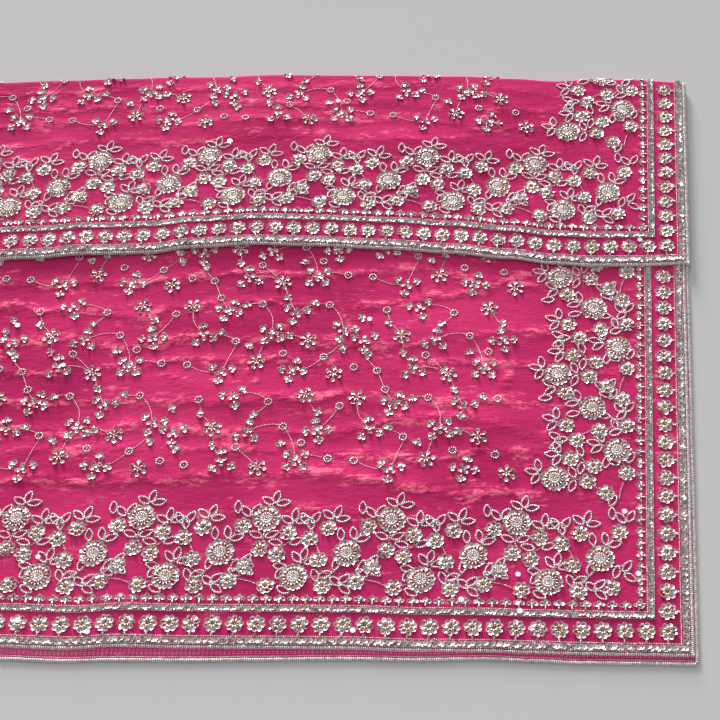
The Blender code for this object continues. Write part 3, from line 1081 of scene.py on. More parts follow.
class Needlework:
    """Gathers the small things of one piece of work, in cloth distances."""

    slope_reach = 0.1

    def __init__(self) -> None:
        """Starts with nothing sewn on."""
        self.rows: dict[Craft, list[Array]] = {craft: [] for craft in Craft}

    def add(
        self, thing: Thing, spot: Spot, right: Values = 0.0, inward: Values = 0.0, turn: Values = 0.0
    ) -> None:
        """Sews on one thing or a row of them.

        Args:
            thing: what is sewn on.
            spot: the place that it is measured from.
            right: millimetres to the right of the spot.
            inward: millimetres inward of the spot.
            turn: degrees from the spot's right to the thing's length.
        """
        across, up = spot.at(right, inward)
        angle = np.radians(np.asarray(turn, float) + spot.turn)
        columns = np.broadcast_arrays(across, up, angle, *thing.size, thing.lift, math.radians(thing.tip))
        self.rows[thing.craft].append(np.stack([np.ravel(column) for column in columns], axis=-1))

    def ring(self, thing: Thing, spot: Spot, radius: float, turns: Array, aside: float = 0.0) -> None:
        """Sews things round a spot, pointing away from it.

        Args:
            thing: what is sewn on.
            spot: the middle of the ring.
            radius: of the ring, in millimetres.
            turns: where they stand, in degrees from the spot's right.
            aside: how far each is turned from pointing outward, in degrees.
        """
        angle = np.radians(turns)
        self.add(thing, spot, radius * np.cos(angle), radius * np.sin(angle), turns + aside)

    def line(self, thing: Thing, spot: Spot, points: Array, pitch: float) -> None:
        """Sews an evenly spaced row along a line.

        Args:
            thing: what is sewn on.
            spot: the place that the line is measured from.
            points: the line's points, in millimetres to the right and inward.
            pitch: about how far apart the things are, in millimetres.
        """
        steps = np.linalg.norm(np.diff(points, axis=0), axis=1)
        travel = np.concatenate([[0.0], np.cumsum(steps)])
        count = max(int(round(travel[-1] / pitch)), 1)
        middle = (np.arange(count) + 0.5) / count * travel[-1]
        ahead = np.minimum(middle + self.slope_reach, travel[-1])
        behind = np.maximum(middle - self.slope_reach, 0.0)
        right, inward = (np.interp(middle, travel, side) for side in points.T)
        run, rise = (np.interp(ahead, travel, side) - np.interp(behind, travel, side) for side in points.T)
        self.add(thing, spot, right, inward, np.degrees(np.arctan2(rise, run)))


def smooth_path(points: Path, steps: int = 8) -> Array:
    """A smooth line through a few points, as a Catmull-Rom curve.

    Args:
        points: places in millimetres.
        steps: how many points are made between each two.

    Returns:
        The line's points.
    """
    given = np.array(points, float)
    padded = np.vstack([2 * given[0] - given[1], given, 2 * given[-1] - given[-2]])
    found = []
    for index in range(len(given) - 1):
        before, start, end, after = padded[index : index + 4]
        for share in np.arange(steps) / steps:
            cube = share**3
            square = share**2
            bend = 0.5 * (2 * start + (end - before) * share)
            bend = bend + 0.5 * (2 * before - 5 * start + 4 * end - after) * square
            found.append(bend + 0.5 * (3 * start - before - 3 * end + after) * cube)
    found.append(given[-1])
    return np.array(found)


@dataclass(frozen=True)
class Templates:
    """The unit shapes that are repeated, each a few dozen faces at most."""

    sequin_sides: int = 7
    sequin_foot: float = 0.34
    cup_rim: float = 0.28
    cup_depth: float = 0.55
    glint_disc_sides: int = 12
    glint_disc_foot: float = 0.42
    bead_sides: int = 4
    bead_rows: int = 2
    bugle_sides: int = 5

    def disc(self, mesh: bmesh.types.BMesh, sides: int, foot: float = 0.5) -> None:
        """Adds a disc or a rod of unit width and height, with the radius of its foot given."""
        bmesh.ops.create_cone(mesh, cap_ends=True, segments=sides, radius1=foot, radius2=0.5, depth=1.0)

    def of(self, craft: Craft) -> tuple[Array, Array, Array]:
        """One craft's unit shape, its length on X.

        Args:
            craft: the craft.

        Returns:
            Corners, triangles and finish numbers.
        """
        mesh = bmesh.new()
        if craft is Craft.SEQUIN:
            self.disc(mesh, self.sequin_sides, self.sequin_foot)
            top = max(mesh.faces, key=lambda face: face.calc_center_median().z)
            bmesh.ops.inset_individual(mesh, faces=[top], thickness=self.cup_rim, depth=-self.cup_depth)
            top.material_index = 1
        elif craft is Craft.MIRROR:
            self.disc(mesh, self.glint_disc_sides, self.glint_disc_foot)
        elif craft is Craft.THREAD_AND_SHADE_BED:
            bmesh.ops.create_cube(mesh, size=1.0)
        elif craft in (Craft.BUGLE, Craft.CUT):
            self.disc(mesh, self.bugle_sides)
            turn = Matrix.Rotation(math.pi / 2, 3, "Y")
            bmesh.ops.rotate(mesh, verts=mesh.verts[:], cent=(0, 0, 0), matrix=turn)
        else:
            bmesh.ops.create_uvsphere(mesh, u_segments=self.bead_sides, v_segments=self.bead_rows, radius=0.5)
        bmesh.ops.recalc_face_normals(mesh, faces=mesh.faces[:])
        bmesh.ops.triangulate(mesh, faces=mesh.faces[:])
        mesh.verts.ensure_lookup_table()
        corners = np.array([vertex.co[:] for vertex in mesh.verts])
        faces = np.array([[vertex.index for vertex in face.verts] for face in mesh.faces])
        numbers = np.array([face.material_index for face in mesh.faces])
        mesh.free()
        return corners, faces, numbers


def link(name: str, data: bpy.types.ID) -> bpy.types.Object:
    """Puts a new object in the scene, at the origin.

    Args:
        name: the object's name.
        data: its mesh, light or camera.

    Returns:
        The object.
    """
    obj = bpy.data.objects.new(name, data)
    bpy.context.scene.collection.objects.link(obj)
    return obj


@dataclass
class Sewer:
    """Turns needlework into joined meshes on a stretch of cloth."""

    finishes: dict[str, bpy.types.Material]
    seed: int = 7
    most_lean: float = 0.5
    size_change: float = 0.05
    most_change: float = 2.0

    def __post_init__(self) -> None:
        """Sets up the source of small differences and the unit shapes."""
        self.random = np.random.default_rng(self.seed)
        self.shapes = {craft: Templates().of(craft) for craft in Craft}

    def sew(
        self, work: Needlework, stretch: Stretch, title: str, all_shown: bool = False
    ) -> list[bpy.types.Object]:
        """Makes one piece of each craft that the work uses.

        Args:
            work: the things to sew on.
            stretch: the cloth they lie on.
            title: the first word of each piece's name.
            all_shown: whether to keep what the folds hide.

        Returns:
            The new pieces.
        """
        made = []
        for craft, blocks in work.rows.items():
            if not blocks:
                continue
            rows = np.concatenate(blocks)
            if not all_shown:
                rows = rows[stretch.shows(rows[:, 0], rows[:, 1])]
            if len(rows):
                made.append(self.piece(f"{title}_{craft.value}", craft, rows, stretch))
        return made

    def piece(self, name: str, craft: Craft, rows: Array, stretch: Stretch) -> bpy.types.Object:
        """Joins every thing of one craft in one mesh.

        Args:
            name: the piece's name.
            craft: the craft.
            rows: the things, as Needlework gathers them.
            stretch: the cloth they lie on.

        Returns:
            The new piece.
        """
        look = CRAFT_LOOKS[craft]
        across, up, turn = rows[:, 0], rows[:, 1], rows[:, 2, None]
        sizes, lift, tip = rows[:, 3:6] * MM, rows[:, 6, None] * MM, rows[:, 7]
        right, inward, out = stretch.tangents(across, up)
        along = np.cos(turn) * right + np.sin(turn) * inward
        lean = np.radians(look.lean) * self.random.normal(size=(len(rows), 2))
        lean = np.clip(lean, -self.most_lean, self.most_lean)
        lean[:, 0] -= tip
        normal = out + lean[:, :1] * along + lean[:, 1:] * np.cross(out, along)
        normal /= np.linalg.norm(normal, axis=1, keepdims=True)
        aside = np.cross(normal, along)
        aside /= np.linalg.norm(aside, axis=1, keepdims=True)
        along = np.cross(aside, normal)
        middle = stretch.place(across, up) + out * (lift + CLOTH_WALL / 2)
        change = self.random.normal(size=(len(rows), 1)).clip(-self.most_change, self.most_change)
        sizes = sizes * (1 + self.size_change * change)
        corners, faces, numbers = self.shapes[craft]
        shape = corners[None] * sizes[:, None, :]
        points = middle[:, None] + shape[..., :1] * along[:, None]
        points = points + shape[..., 1:2] * aside[:, None] + shape[..., 2:] * normal[:, None]
        triangles = faces[None] + (np.arange(len(rows)) * len(corners))[:, None, None]
        data = bpy.data.meshes.new(name)
        data.from_pydata(points.reshape(-1, 3), [], triangles.reshape(-1, 3))
        data.materials.append(self.finishes[look.finish.name])
        if craft is Craft.SEQUIN:
            data.materials.append(self.finishes[CENTRE.name])
            data.polygons.foreach_set("material_index", np.tile(numbers, len(rows)))
        if look.rounded:
            data.shade_smooth()
        obj = link(name, data)
        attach(obj, "root")
        LOG.info("%s: %d sewn on, %d triangles", name, len(rows), len(rows) * len(faces))
        return obj


@dataclass(frozen=True)
class RingFlower:
    """A round flower: cup sequins round cut beads, with a rose centre or a silver radial one."""

    petals: int = 8
    ring: float = 6.3
    petal: Thing = PETAL
    ray_ring: float = 3.1
    ray: Thing = RAY
    heart: bool = False
    first: float = 13.0
    heart_rings: tuple[tuple[Thing, float, int], ...] = ((HEART_OUTER, 5.0, 16), (HEART_INNER, 2.6, 9))
    heart_turn: float = 7.0

    def work(self, needle: Needlework, spot: Spot) -> None:
        """Sews the flower.

        Args:
            needle: what gathers the work.
            spot: the flower's middle.
        """
        turns = round_turns(self.petals, self.first)
        needle.ring(self.petal, spot, self.ring, turns)
        needle.ring(self.ray, spot, self.ray_ring, turns + 180.0 / self.petals)
        if self.heart:
            for thing, ring, count in self.heart_rings:
                needle.ring(thing, spot, ring, round_turns(count, self.heart_turn * ring))
            needle.add(HEART_SEED, spot)
        else:
            needle.add(ROSE_CENTRE, spot)
            needle.add(CENTRE_SEED, spot, 0.2, 0.1, 20.0)


@dataclass(frozen=True)
class BeadLeaf:
    """An almond leaf outlined in seed beads."""

    length: float = 13.5
    width: float = 6.6
    pitch: float = 1.95
    points: int = 49
    belly: float = 0.92
    fullness: float = 0.85

    def work(self, needle: Needlework, spot: Spot) -> None:
        """Sews the leaf outward from its foot, along the spot's right.

        Args:
            needle: what gathers the work.
            spot: the leaf's foot.
        """
        share = np.linspace(0.0, 2.0, self.points)
        side = np.where(share < 1.0, 1.0, -1.0)
        along = np.where(share < 1.0, share, 2.0 - share)
        bulge = np.sin(math.pi * along**self.belly) ** self.fullness * self.width / 2
        outline = np.stack([along * self.length, side * bulge], axis=-1)
        needle.line(LEAF_SEED, spot, outline, self.pitch)


@dataclass(frozen=True)
class Trefoil:
    """Three sequins fanned on a short beaded stem."""

    spread: float = 62.0
    reach: float = 3.7
    stem: Path = ((0.0, 0.6), (0.0, 4.6))
    stem_pitch: float = 2.0
    fan_foot: float = 4.0

    def work(self, needle: Needlework, spot: Spot) -> None:
        """Sews the trefoil, pointing inward.

        Args:
            needle: what gathers the work.
            spot: the stem's foot.
        """
        needle.line(FAN_STEM, spot, np.array(self.stem), self.stem_pitch)
        turns = 90.0 + np.array([-1.0, 0.0, 1.0]) * self.spread
        needle.ring(FAN_CUP, spot.moved(0.0, self.fan_foot), self.reach, turns)


@dataclass(frozen=True)
class BeadStem:
    """A curved stem of small beads or of thread stitches."""

    points: Path
    thing: Thing = STEM_SEED
    pitch: float = 1.9

    def work(self, needle: Needlework, spot: Spot) -> None:
        """Sews the stem along its points."""
        needle.line(self.thing, spot, smooth_path(self.points), self.pitch)


SMALL_FLOWER = RingFlower()
LARGE_FLOWER = RingFlower(petals=16, ring=11.5, petal=LARGE_PETAL, ray_ring=8.1, ray=LARGE_RAY, heart=True)
LEAF = BeadLeaf()
STITCH_PITCH = 2.6


@dataclass(frozen=True)
class TrailRepeat:
    """One repeat of the floral trail above the inner band; places in millimetres, right and inward."""

    large: Path = ((6, 85), (38, 24), (86, 49))
    small: Path = (
        (3, 53), (-9, 35), (13, 15), (28, 70), (20, 47), (49, 64), (66, 75), (60, 42), (66, 15),
        (104, 77), (97, 20),
    )
    leaves: tuple[Size, ...] = (
        (11, 100, 148), (12, 101, 78), (14, 100, 12),
        (32, 80, 150), (33, 82, 88), (35, 80, 30),
        (70, 85, 140), (72, 86, 72), (73, 84, 8),
        (50, 73, 96),
        (43, 39, 128), (45, 41, 80), (47, 38, 22),
        (4, 65, 158), (7, 65, 26),
        (24, 58, 168), (31, 58, 24),
        (92, 63, 100), (94, 62, 20),
        (100, 29, 74), (74, 29, 200), (76, 31, 80), (73, 24, -40), (81, 18, 40), (82, 16, -38),
        (22, 22, 60), (24, 14, -28), (56, 32, -70), (108, 36, 55), (109, 34, -35),
        (110, 87, 130), (112, 88, 60), (98, 90, 96), (46, 79, 120), (50, 80, 60), (80, 62, 100),
        (18, 36, -12), (-12, 25, 150),
    )
    stems: tuple[Path, ...] = (
        ((6, 71), (5, 62)), ((-2, 46), (-6, 42)), ((11, 99), (8, 96)),
        ((22, 55), (28, 58), (30, 63)), ((33, 80), (31, 77)), ((60, 50), (56, 58), (53, 62)),
        ((71, 85), (69, 81)), ((98, 70), (93, 62), (91, 59)), ((45, 40), (43, 37)),
        ((60, 34), (68, 28), (75, 29), (80, 37)), ((66, 23), (70, 26)), ((74, 16), (81, 17), (89, 19)),
        ((97, 28), (100, 31)), ((4, 17), (-4, 20), (-15, 22)), ((21, 17), (25, 19)),
        ((97, 41), (106, 42), (112, 46)), ((104, 85), (110, 88)), ((49, 72), (48, 79)), ((86, 60), (80, 62)),
    )

    def work(self, needle: Needlework, spot: Spot) -> None:
        """Sews one repeat.

        Args:
            needle: what gathers the work.
            spot: where the repeat is measured from.
        """
        for right, inward in self.large:
            LARGE_FLOWER.work(needle, spot.moved(right, inward, right))
        for right, inward in self.small:
            SMALL_FLOWER.work(needle, spot.moved(right, inward, inward))
        for right, inward, turn in self.leaves:
            LEAF.work(needle, spot.moved(right, inward, turn))
        for points in self.stems:
            BeadStem(points).work(needle, spot)


@dataclass(frozen=True)
class Bud:
    """Three cup sequins round a cut bead, on the end of a stalk."""

    ring: float = 2.9
    spread: float = 84.0
    stalk: float = -1.9

    def work(self, needle: Needlework, spot: Spot) -> None:
        """Sews the bud at the spot, its middle sequin to the right."""
        needle.ring(BUD_CUP, spot, self.ring, np.array([-1.0, 0.0, 1.0]) * self.spread)
        needle.add(BUD_BEAD, spot, self.stalk)


@dataclass(frozen=True)
class Cluster:
    """A head on the ground: buds set round a few sequins."""

    buds: int = 3
    reach: float = 10.6
    cup_ring: float = 4.3
    uneven: float = 9.0

    def work(self, needle: Needlework, spot: Spot) -> None:
        """Sews the cluster.

        Args:
            needle: what gathers the work.
            spot: the cluster's middle.
        """
        for number, turn in enumerate(round_turns(self.buds)):
            middle = spot.moved(0.0, 0.0, turn + self.uneven * (number % 2))
            Bud().work(needle, middle.moved(self.reach, 0.0))
        needle.ring(FAN_CUP, spot, self.cup_ring, round_turns(self.buds, 180.0 / self.buds))
        needle.add(TOP_CUP, spot, 0.4, 0.2, 40.0)


@dataclass(frozen=True)
class StarFlower:
    """An open flower on the ground: cup sequins on cut beads round a bead."""

    petals: int = 6
    ring: float = 7.2
    ray_ring: float = 3.4

    def work(self, needle: Needlework, spot: Spot) -> None:
        """Sews the flower.

        Args:
            needle: what gathers the work.
            spot: the flower's middle.
        """
        turns = round_turns(self.petals)
        needle.ring(BUD_CUP, spot, self.ring, turns)
        needle.ring(STAR_RAY, spot, self.ray_ring, turns)
        needle.add(STAR_SEED, spot)


@dataclass(frozen=True)
class BeadRing:
    """A small ring of beads round another bead."""

    radius: float = 3.5
    beads: int = 10

    def work(self, needle: Needlework, spot: Spot) -> None:
        """Sews the ring round the spot."""
        needle.ring(FOOT_SEED, spot, self.radius, round_turns(self.beads), 90.0)
        needle.add(RING_SEED, spot)


@dataclass(frozen=True)
class SprigRepeat:
    """One repeat of the ground sprigs; places in millimetres, right and inward, and turns in degrees."""

    clusters: tuple[tuple[float, float, float, int], ...] = (
        (-40, -97, 20, 3), (32, -94, 75, 4), (-64, -52, 100, 3), (6, -50, 50, 4), (80, -46, 10, 3),
        (-42, -22, 65, 4), (28, -24, 15, 3), (-26, 20, 95, 3), (46, 22, 40, 4), (-78, 52, 30, 3),
        (-6, 54, 80, 3), (64, 56, 5, 4), (-24, 94, 45, 3),
    )
    stars: tuple[Size, ...] = (
        (-6, -84, 12), (44, -58, 35), (-80, -16, 5), (10, 14, 48), (-40, 58, 25), (48, 96, 15),
        (74, -98, 30),
    )
    rings: Path = (
        (-76, -88), (62, -78), (-30, -60), (-8, -14), (62, -14), (-62, 16), (78, 24), (30, 60), (-58, 90),
        (12, 88), (-52, -6), (20, -74), (-14, 36), (50, 42), (84, 84), (-86, 20),
    )
    buds: tuple[Size, ...] = (
        (-46, -50, 80), (24, -52, -60), (80, -68, 20), (-24, -16, 100), (-72, 34, 160), (46, -12, 70),
        (18, -4, -140), (-38, 38, 20), (30, 40, 100), (0, 73, 120), (62, 77, -20), (-54, 74, 190),
        (-16, -66, 60), (-84, 80, 40),
    )
    stems: tuple[Path, ...] = (
        ((-76, -88), (-58, -96), (-40, -97)),
        ((-40, -97), (-34, -78), (-30, -60), (-46, -52), (-64, -52)),
        ((-6, -84), (-2, -66), (6, -50), (24, -50), (44, -58)),
        ((32, -94), (48, -90), (62, -78), (76, -64), (80, -46)),
        ((-64, -52), (-76, -36), (-80, -16)),
        ((-42, -22), (-24, -14), (-8, -14), (4, -30), (6, -50)),
        ((-42, -22), (-52, -6), (-62, 16), (-74, 32), (-78, 52)),
        ((28, -24), (44, -14), (62, -14), (74, -28), (80, -46)),
        ((28, -24), (18, -4), (10, 14), (-8, 22), (-26, 20)),
        ((46, 22), (60, 28), (78, 24)),
        ((-26, 20), (-36, 38), (-40, 58), (-52, 74), (-58, 90)),
        ((-6, 54), (12, 62), (30, 60), (42, 40), (46, 22)),
        ((-6, 54), (0, 72), (12, 88), (-6, 98), (-24, 94)),
        ((64, 56), (60, 76), (48, 96)),
        ((10, 14), (-2, 26), (-14, 36)),
        ((64, 56), (76, 70), (84, 84)),
    )

    def work(self, needle: Needlework, spot: Spot, clear: Callable[[Spot], bool]) -> None:
        """Sews what the trails leave clear of one repeat.

        Args:
            needle: what gathers the work.
            spot: the middle of the repeat.
            clear: whether a motif's place is clear of the trails.
        """
        placed = [(Cluster(buds), spot.moved(*place)) for *place, buds in self.clusters]
        placed += [(StarFlower(), spot.moved(*place)) for place in self.stars]
        placed += [(BeadRing(), spot.moved(*place)) for place in self.rings]
        placed += [(Bud(), spot.moved(*place)) for place in self.buds]
        for motif, place in placed:
            if clear(place):
                motif.work(needle, place)
        for points in self.stems:
            if all(clear(spot.moved(right, inward)) for right, inward in points):
                BeadStem(points, STEM_STITCH, STITCH_PITCH).work(needle, spot)


# ---------------------------------------------------------------- the sub-assemblies


@dataclass(frozen=True)
class ClothShell:
    """One stretch of cloth as a thin shell on its solid's form."""

    stretch: Stretch
    node: str
    columns: Array
    rows: Array
    flat: Place
    rests_on: tuple[str, ...]
    held: str = "folded"
    finish: str = SILK.name

    def build(self, finishes: dict[str, bpy.types.Material]) -> bpy.types.Object:
        """Builds the shell and maps it in metres.

        Args:
            finishes: the garment's materials, by name.

        Returns:
            The new piece.
        """
        across_count = len(self.columns) - 1
        up_count = len(self.rows) - 1
        mesh = bmesh.new()
        bmesh.ops.create_grid(mesh, x_segments=across_count, y_segments=up_count, size=1.0)
        grid = np.array([vertex.co[:2] for vertex in mesh.verts])
        column = np.rint((1 - grid[:, 0]) / 2 * across_count).astype(int)
        row = np.rint((grid[:, 1] + 1) / 2 * up_count).astype(int)
        across, up = self.columns[column], self.rows[row]
        points = self.stretch.place(across, up)
        # A vertex value that paints coral sheen into the silk's colour along the creases.
        painted_sheen = self.stretch.painted_sheen(across, up)
        layer = mesh.loops.layers.uv.new("cloth")
        painted_sheen_layer = mesh.verts.layers.float.new("painted_sheen")
        mesh.verts.ensure_lookup_table()
        for vertex, point, value in zip(mesh.verts, points, painted_sheen):
            vertex.co = point
            vertex[painted_sheen_layer] = float(value)
        for face in mesh.faces:
            for loop in face.loops:
                index = loop.vert.index
                loop[layer].uv = (across[index], up[index])
        name = self.stretch.name + "_cloth"
        data = bpy.data.meshes.new(name)
        mesh.to_mesh(data)
        mesh.free()
        data.materials.append(finishes[self.finish])
        data.shade_smooth()
        obj = link(name, data)
        wall = obj.modifiers.new("wall", "SOLIDIFY")
        wall.thickness = CLOTH_WALL
        wall.offset = 0.0
        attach(obj, "root")
        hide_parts(self.node)
        LOG.info("%s: %d faces before its wall", name, len(data.polygons))
        return obj


@dataclass(frozen=True)
class BandSizes:
    """Distances in from the edge of the cloth, and pitches, in millimetres."""

    edge_line: float = 0.9
    band_middle: float = 4.6
    band_line: float = 8.6
    flower_middle: float = 20.8
    flower_pitch: float = 20.0
    inner_first_line: float = 33.2
    inner_middle: float = 36.4
    inner_second_line: float = 39.6
    trefoil_foot: float = 40.4
    trefoil_pitch: float = 12.4
    bead_pitch: float = 2.1
    trail_foot: float = 44.0
    trail_pitch: float = 120.0


    corner_gap: float = 1.0
    foot_seeds: Place = (1.6, 3.2)
    first_trefoil: float = 7.0
    bed_pitch: float = 6.0
    flower_twist: float = 5.0


class SequinBand(NamedTuple):
    """One band of overlapping sequins on a dark bed of thread and painted shade; distances in millimetres."""

    inset: float
    pitch: float
    sway: float
    sequin: Thing
    bed: Thing


@dataclass(frozen=True)
class BorderBands:
    """Bead lines, sequin bands, the row of flowers and the trefoils along a border."""

    sizes: BandSizes = BandSizes()
    sequin_bands: tuple[SequinBand, ...] = (
        SequinBand(BandSizes.band_middle, 3.1, 0.4, WIDE_SEQUIN, WIDE_THREAD_AND_SHADE_BED),
        SequinBand(BandSizes.inner_middle, 3.3, 0.2, NARROW_SEQUIN, NARROW_THREAD_AND_SHADE_BED),
    )

    def way(self, spot: Spot) -> float:
        """-1 along a hem, which runs to the left of the corner, and 1 up a pallu edge."""
        return -1.0 if spot.turn == 0.0 else 1.0

    def work(self, needle: Needlework, spot: Spot, length: float) -> None:
        """Sews the whole border.

        Args:
            needle: what gathers the work.
            spot: the cloth's corner, turned so that inward leads away from the edge.
            length: how far the border runs, in millimetres.
        """
        sizes = self.sizes
        way = self.way(spot)
        insets = (sizes.edge_line, sizes.band_line, sizes.inner_first_line, sizes.inner_second_line)
        for inset in insets:
            start = sizes.corner_gap if inset == sizes.edge_line else inset
            needle.add(LINE_SEED, spot, np.arange(start, length, sizes.bead_pitch) * way, inset)
        for band in self.sequin_bands:
            right = np.arange(band.inset, length, band.pitch)
            sway = band.sway * np.where(np.arange(len(right)) % 2, 1.0, -1.0)
            needle.add(band.sequin, spot, right * way, band.inset + sway)
            needle.add(band.bed, spot, np.arange(band.inset, length, sizes.bed_pitch) * way, band.inset)
        first = sizes.flower_middle + (0.0 if spot.turn == 0.0 else sizes.flower_pitch)
        for right in np.arange(first, length, sizes.flower_pitch):
            flower = spot.moved(right * way, sizes.flower_middle, sizes.flower_twist * right)
            SMALL_FLOWER.work(needle, flower)
            foot = spot.moved(right * way, sizes.band_line)
            needle.add(FOOT_SEED, foot, [0.0, 0.0], sizes.foot_seeds, 90.0)
        for right in np.arange(sizes.trefoil_foot + sizes.first_trefoil, length, sizes.trefoil_pitch):
            Trefoil().work(needle, spot.moved(right * way, sizes.trefoil_foot))


# Where the discs painted white as glints lie, across and up in metres.
PAINTED_GLINT_PLACES = {
    "body": (
        (0.631, 0.302), (0.688, 0.354), (0.325, 0.358), (0.061, 0.143), (0.048, 0.078), (0.158, 0.038),
        (0.213, 0.048), (0.247, 0.104), (0.311, 0.015), (0.621, 0.023), (0.555, 0.013), (0.615, 0.088),
        (0.161, 0.075), (0.760, 0.110), (0.835, 0.321), (0.905, 0.046), (0.960, 0.236), (1.040, 0.022),
    ),
    "flap": ((0.390, 0.212), (0.505, 0.151), (0.049, 0.029), (0.392, 0.064), (0.820, 0.190), (0.980, 0.075)),
}


@dataclass(frozen=True)
class Embroidery:
    """All the needlework of one stretch that has its right side out.

    Depth and the ground's edges are in metres, the other sizes in millimetres.
    """

    stretch: Stretch
    plan: FoldPlan
    depth: float
    sewer: Sewer
    sizes: BandSizes = BandSizes()
    hem: Spot = Spot(0.0, 0.0)
    pallu: Spot = Spot(0.0, 0.0, 90.0)
    hem_repeats: int = 10
    hem_trail_start: float = 170.0
    pallu_repeats: int = 4
    pallu_trail_start: float = 172.0
    ground_side: float = 0.172
    ground_foot: float = 0.166
    ground_columns: int = 6
    ground_rows: int = 3
    ground_first: Place = (250.0, 60.0)
    ground_pitch: Place = (180.0, 220.0)

    def build(self) -> None:
        """Sews the borders, the trails, the ground and the sequins painted white as glints."""
        works = {"bands": self.bands, "trail": self.trail, "ground": self.ground, "loose": self.painted_glints}
        for title, work in works.items():
            self.sewer.sew(work(), self.stretch, f"{self.stretch.name}_{title}")

    def painted_glints(self) -> Needlework:
        """The few large flat sequins painted white to stand in for glints.

        Returns:
            Their work.
        """
        needle = Needlework()
        for across, up in PAINTED_GLINT_PLACES[self.stretch.name]:
            needle.add(PAINTED_GLINT_DISC, Spot(across, up))
        return needle

    def bands(self) -> Needlework:
        """The bands of both borders.

        Returns:
            Their work.
        """
        needle = Needlework()
        BorderBands().work(needle, self.hem, self.plan.folded / MM)
        BorderBands().work(needle, self.pallu, self.depth / MM)
        return needle

    def trail(self) -> Needlework:
        """The floral trail along the hem, and up the pallu edge above it.

        Returns:
            Its work.
        """
        needle = Needlework()
        pitch, foot = self.sizes.trail_pitch, self.sizes.trail_foot
        for number in range(self.hem_repeats):
            TrailRepeat().work(needle, self.hem.moved(-(self.hem_trail_start + pitch * number), foot))
        for number in range(self.pallu_repeats):
            TrailRepeat().work(needle, self.pallu.moved(self.pallu_trail_start + pitch * number, foot))
        return needle

    def is_clear(self, place: Spot) -> bool:
        """Whether a place lies on the ground, past both trails."""
        return place.across > self.ground_side and place.up > self.ground_foot

    def ground(self) -> Needlework:
        """The sprigs scattered on the ground in a half-drop, kept clear of the trails.

        Returns:
            Their work.
        """
        needle = Needlework()
        aside, step = self.ground_pitch
        for column in range(self.ground_columns):
            for row in range(self.ground_rows):
                across = self.ground_first[0] + aside * column
                up = self.ground_first[1] + step * (row + 0.5 * (column % 2))
                SprigRepeat().work(needle, Spot(across * MM, up * MM), self.is_clear)
        return needle


@dataclass(frozen=True)
class BeadEdging:
    """Bugle beads side by side along one edge of one stretch.

    It runs from start to end in millimetres, along the hem or up the side. Side is where the side edge
    lies, in metres, and past is how far past the edge the beads' middles are, in millimetres.
    """

    node: str
    stretch: Stretch
    start: float
    end: float
    up_the_side: bool
    bead: Thing = EDGING_BUGLE
    side: float = 0.0
    past: float = 1.75
    pitch: float = 1.95

    def build(self, sewer: Sewer) -> None:
        """Sews the edging and lets it stand for its CAD node.

        Args:
            sewer: what makes its mesh.
        """
        needle = Needlework()
        way, turn = (1.0, 90.0) if self.up_the_side else (-1.0, 0.0)
        along = np.arange(self.start, self.end, self.pitch) * way
        needle.add(self.bead, Spot(self.side, 0.0, turn), along, -self.past, 90.0)
        obj = sewer.sew(needle, self.stretch, self.node, all_shown=True)[0]
        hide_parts(self.node)


class StripLine(NamedTuple):
    """One thin line on the strip of the layer underneath; millimetres."""

    inset: float
    thing: Thing
    pitch: float


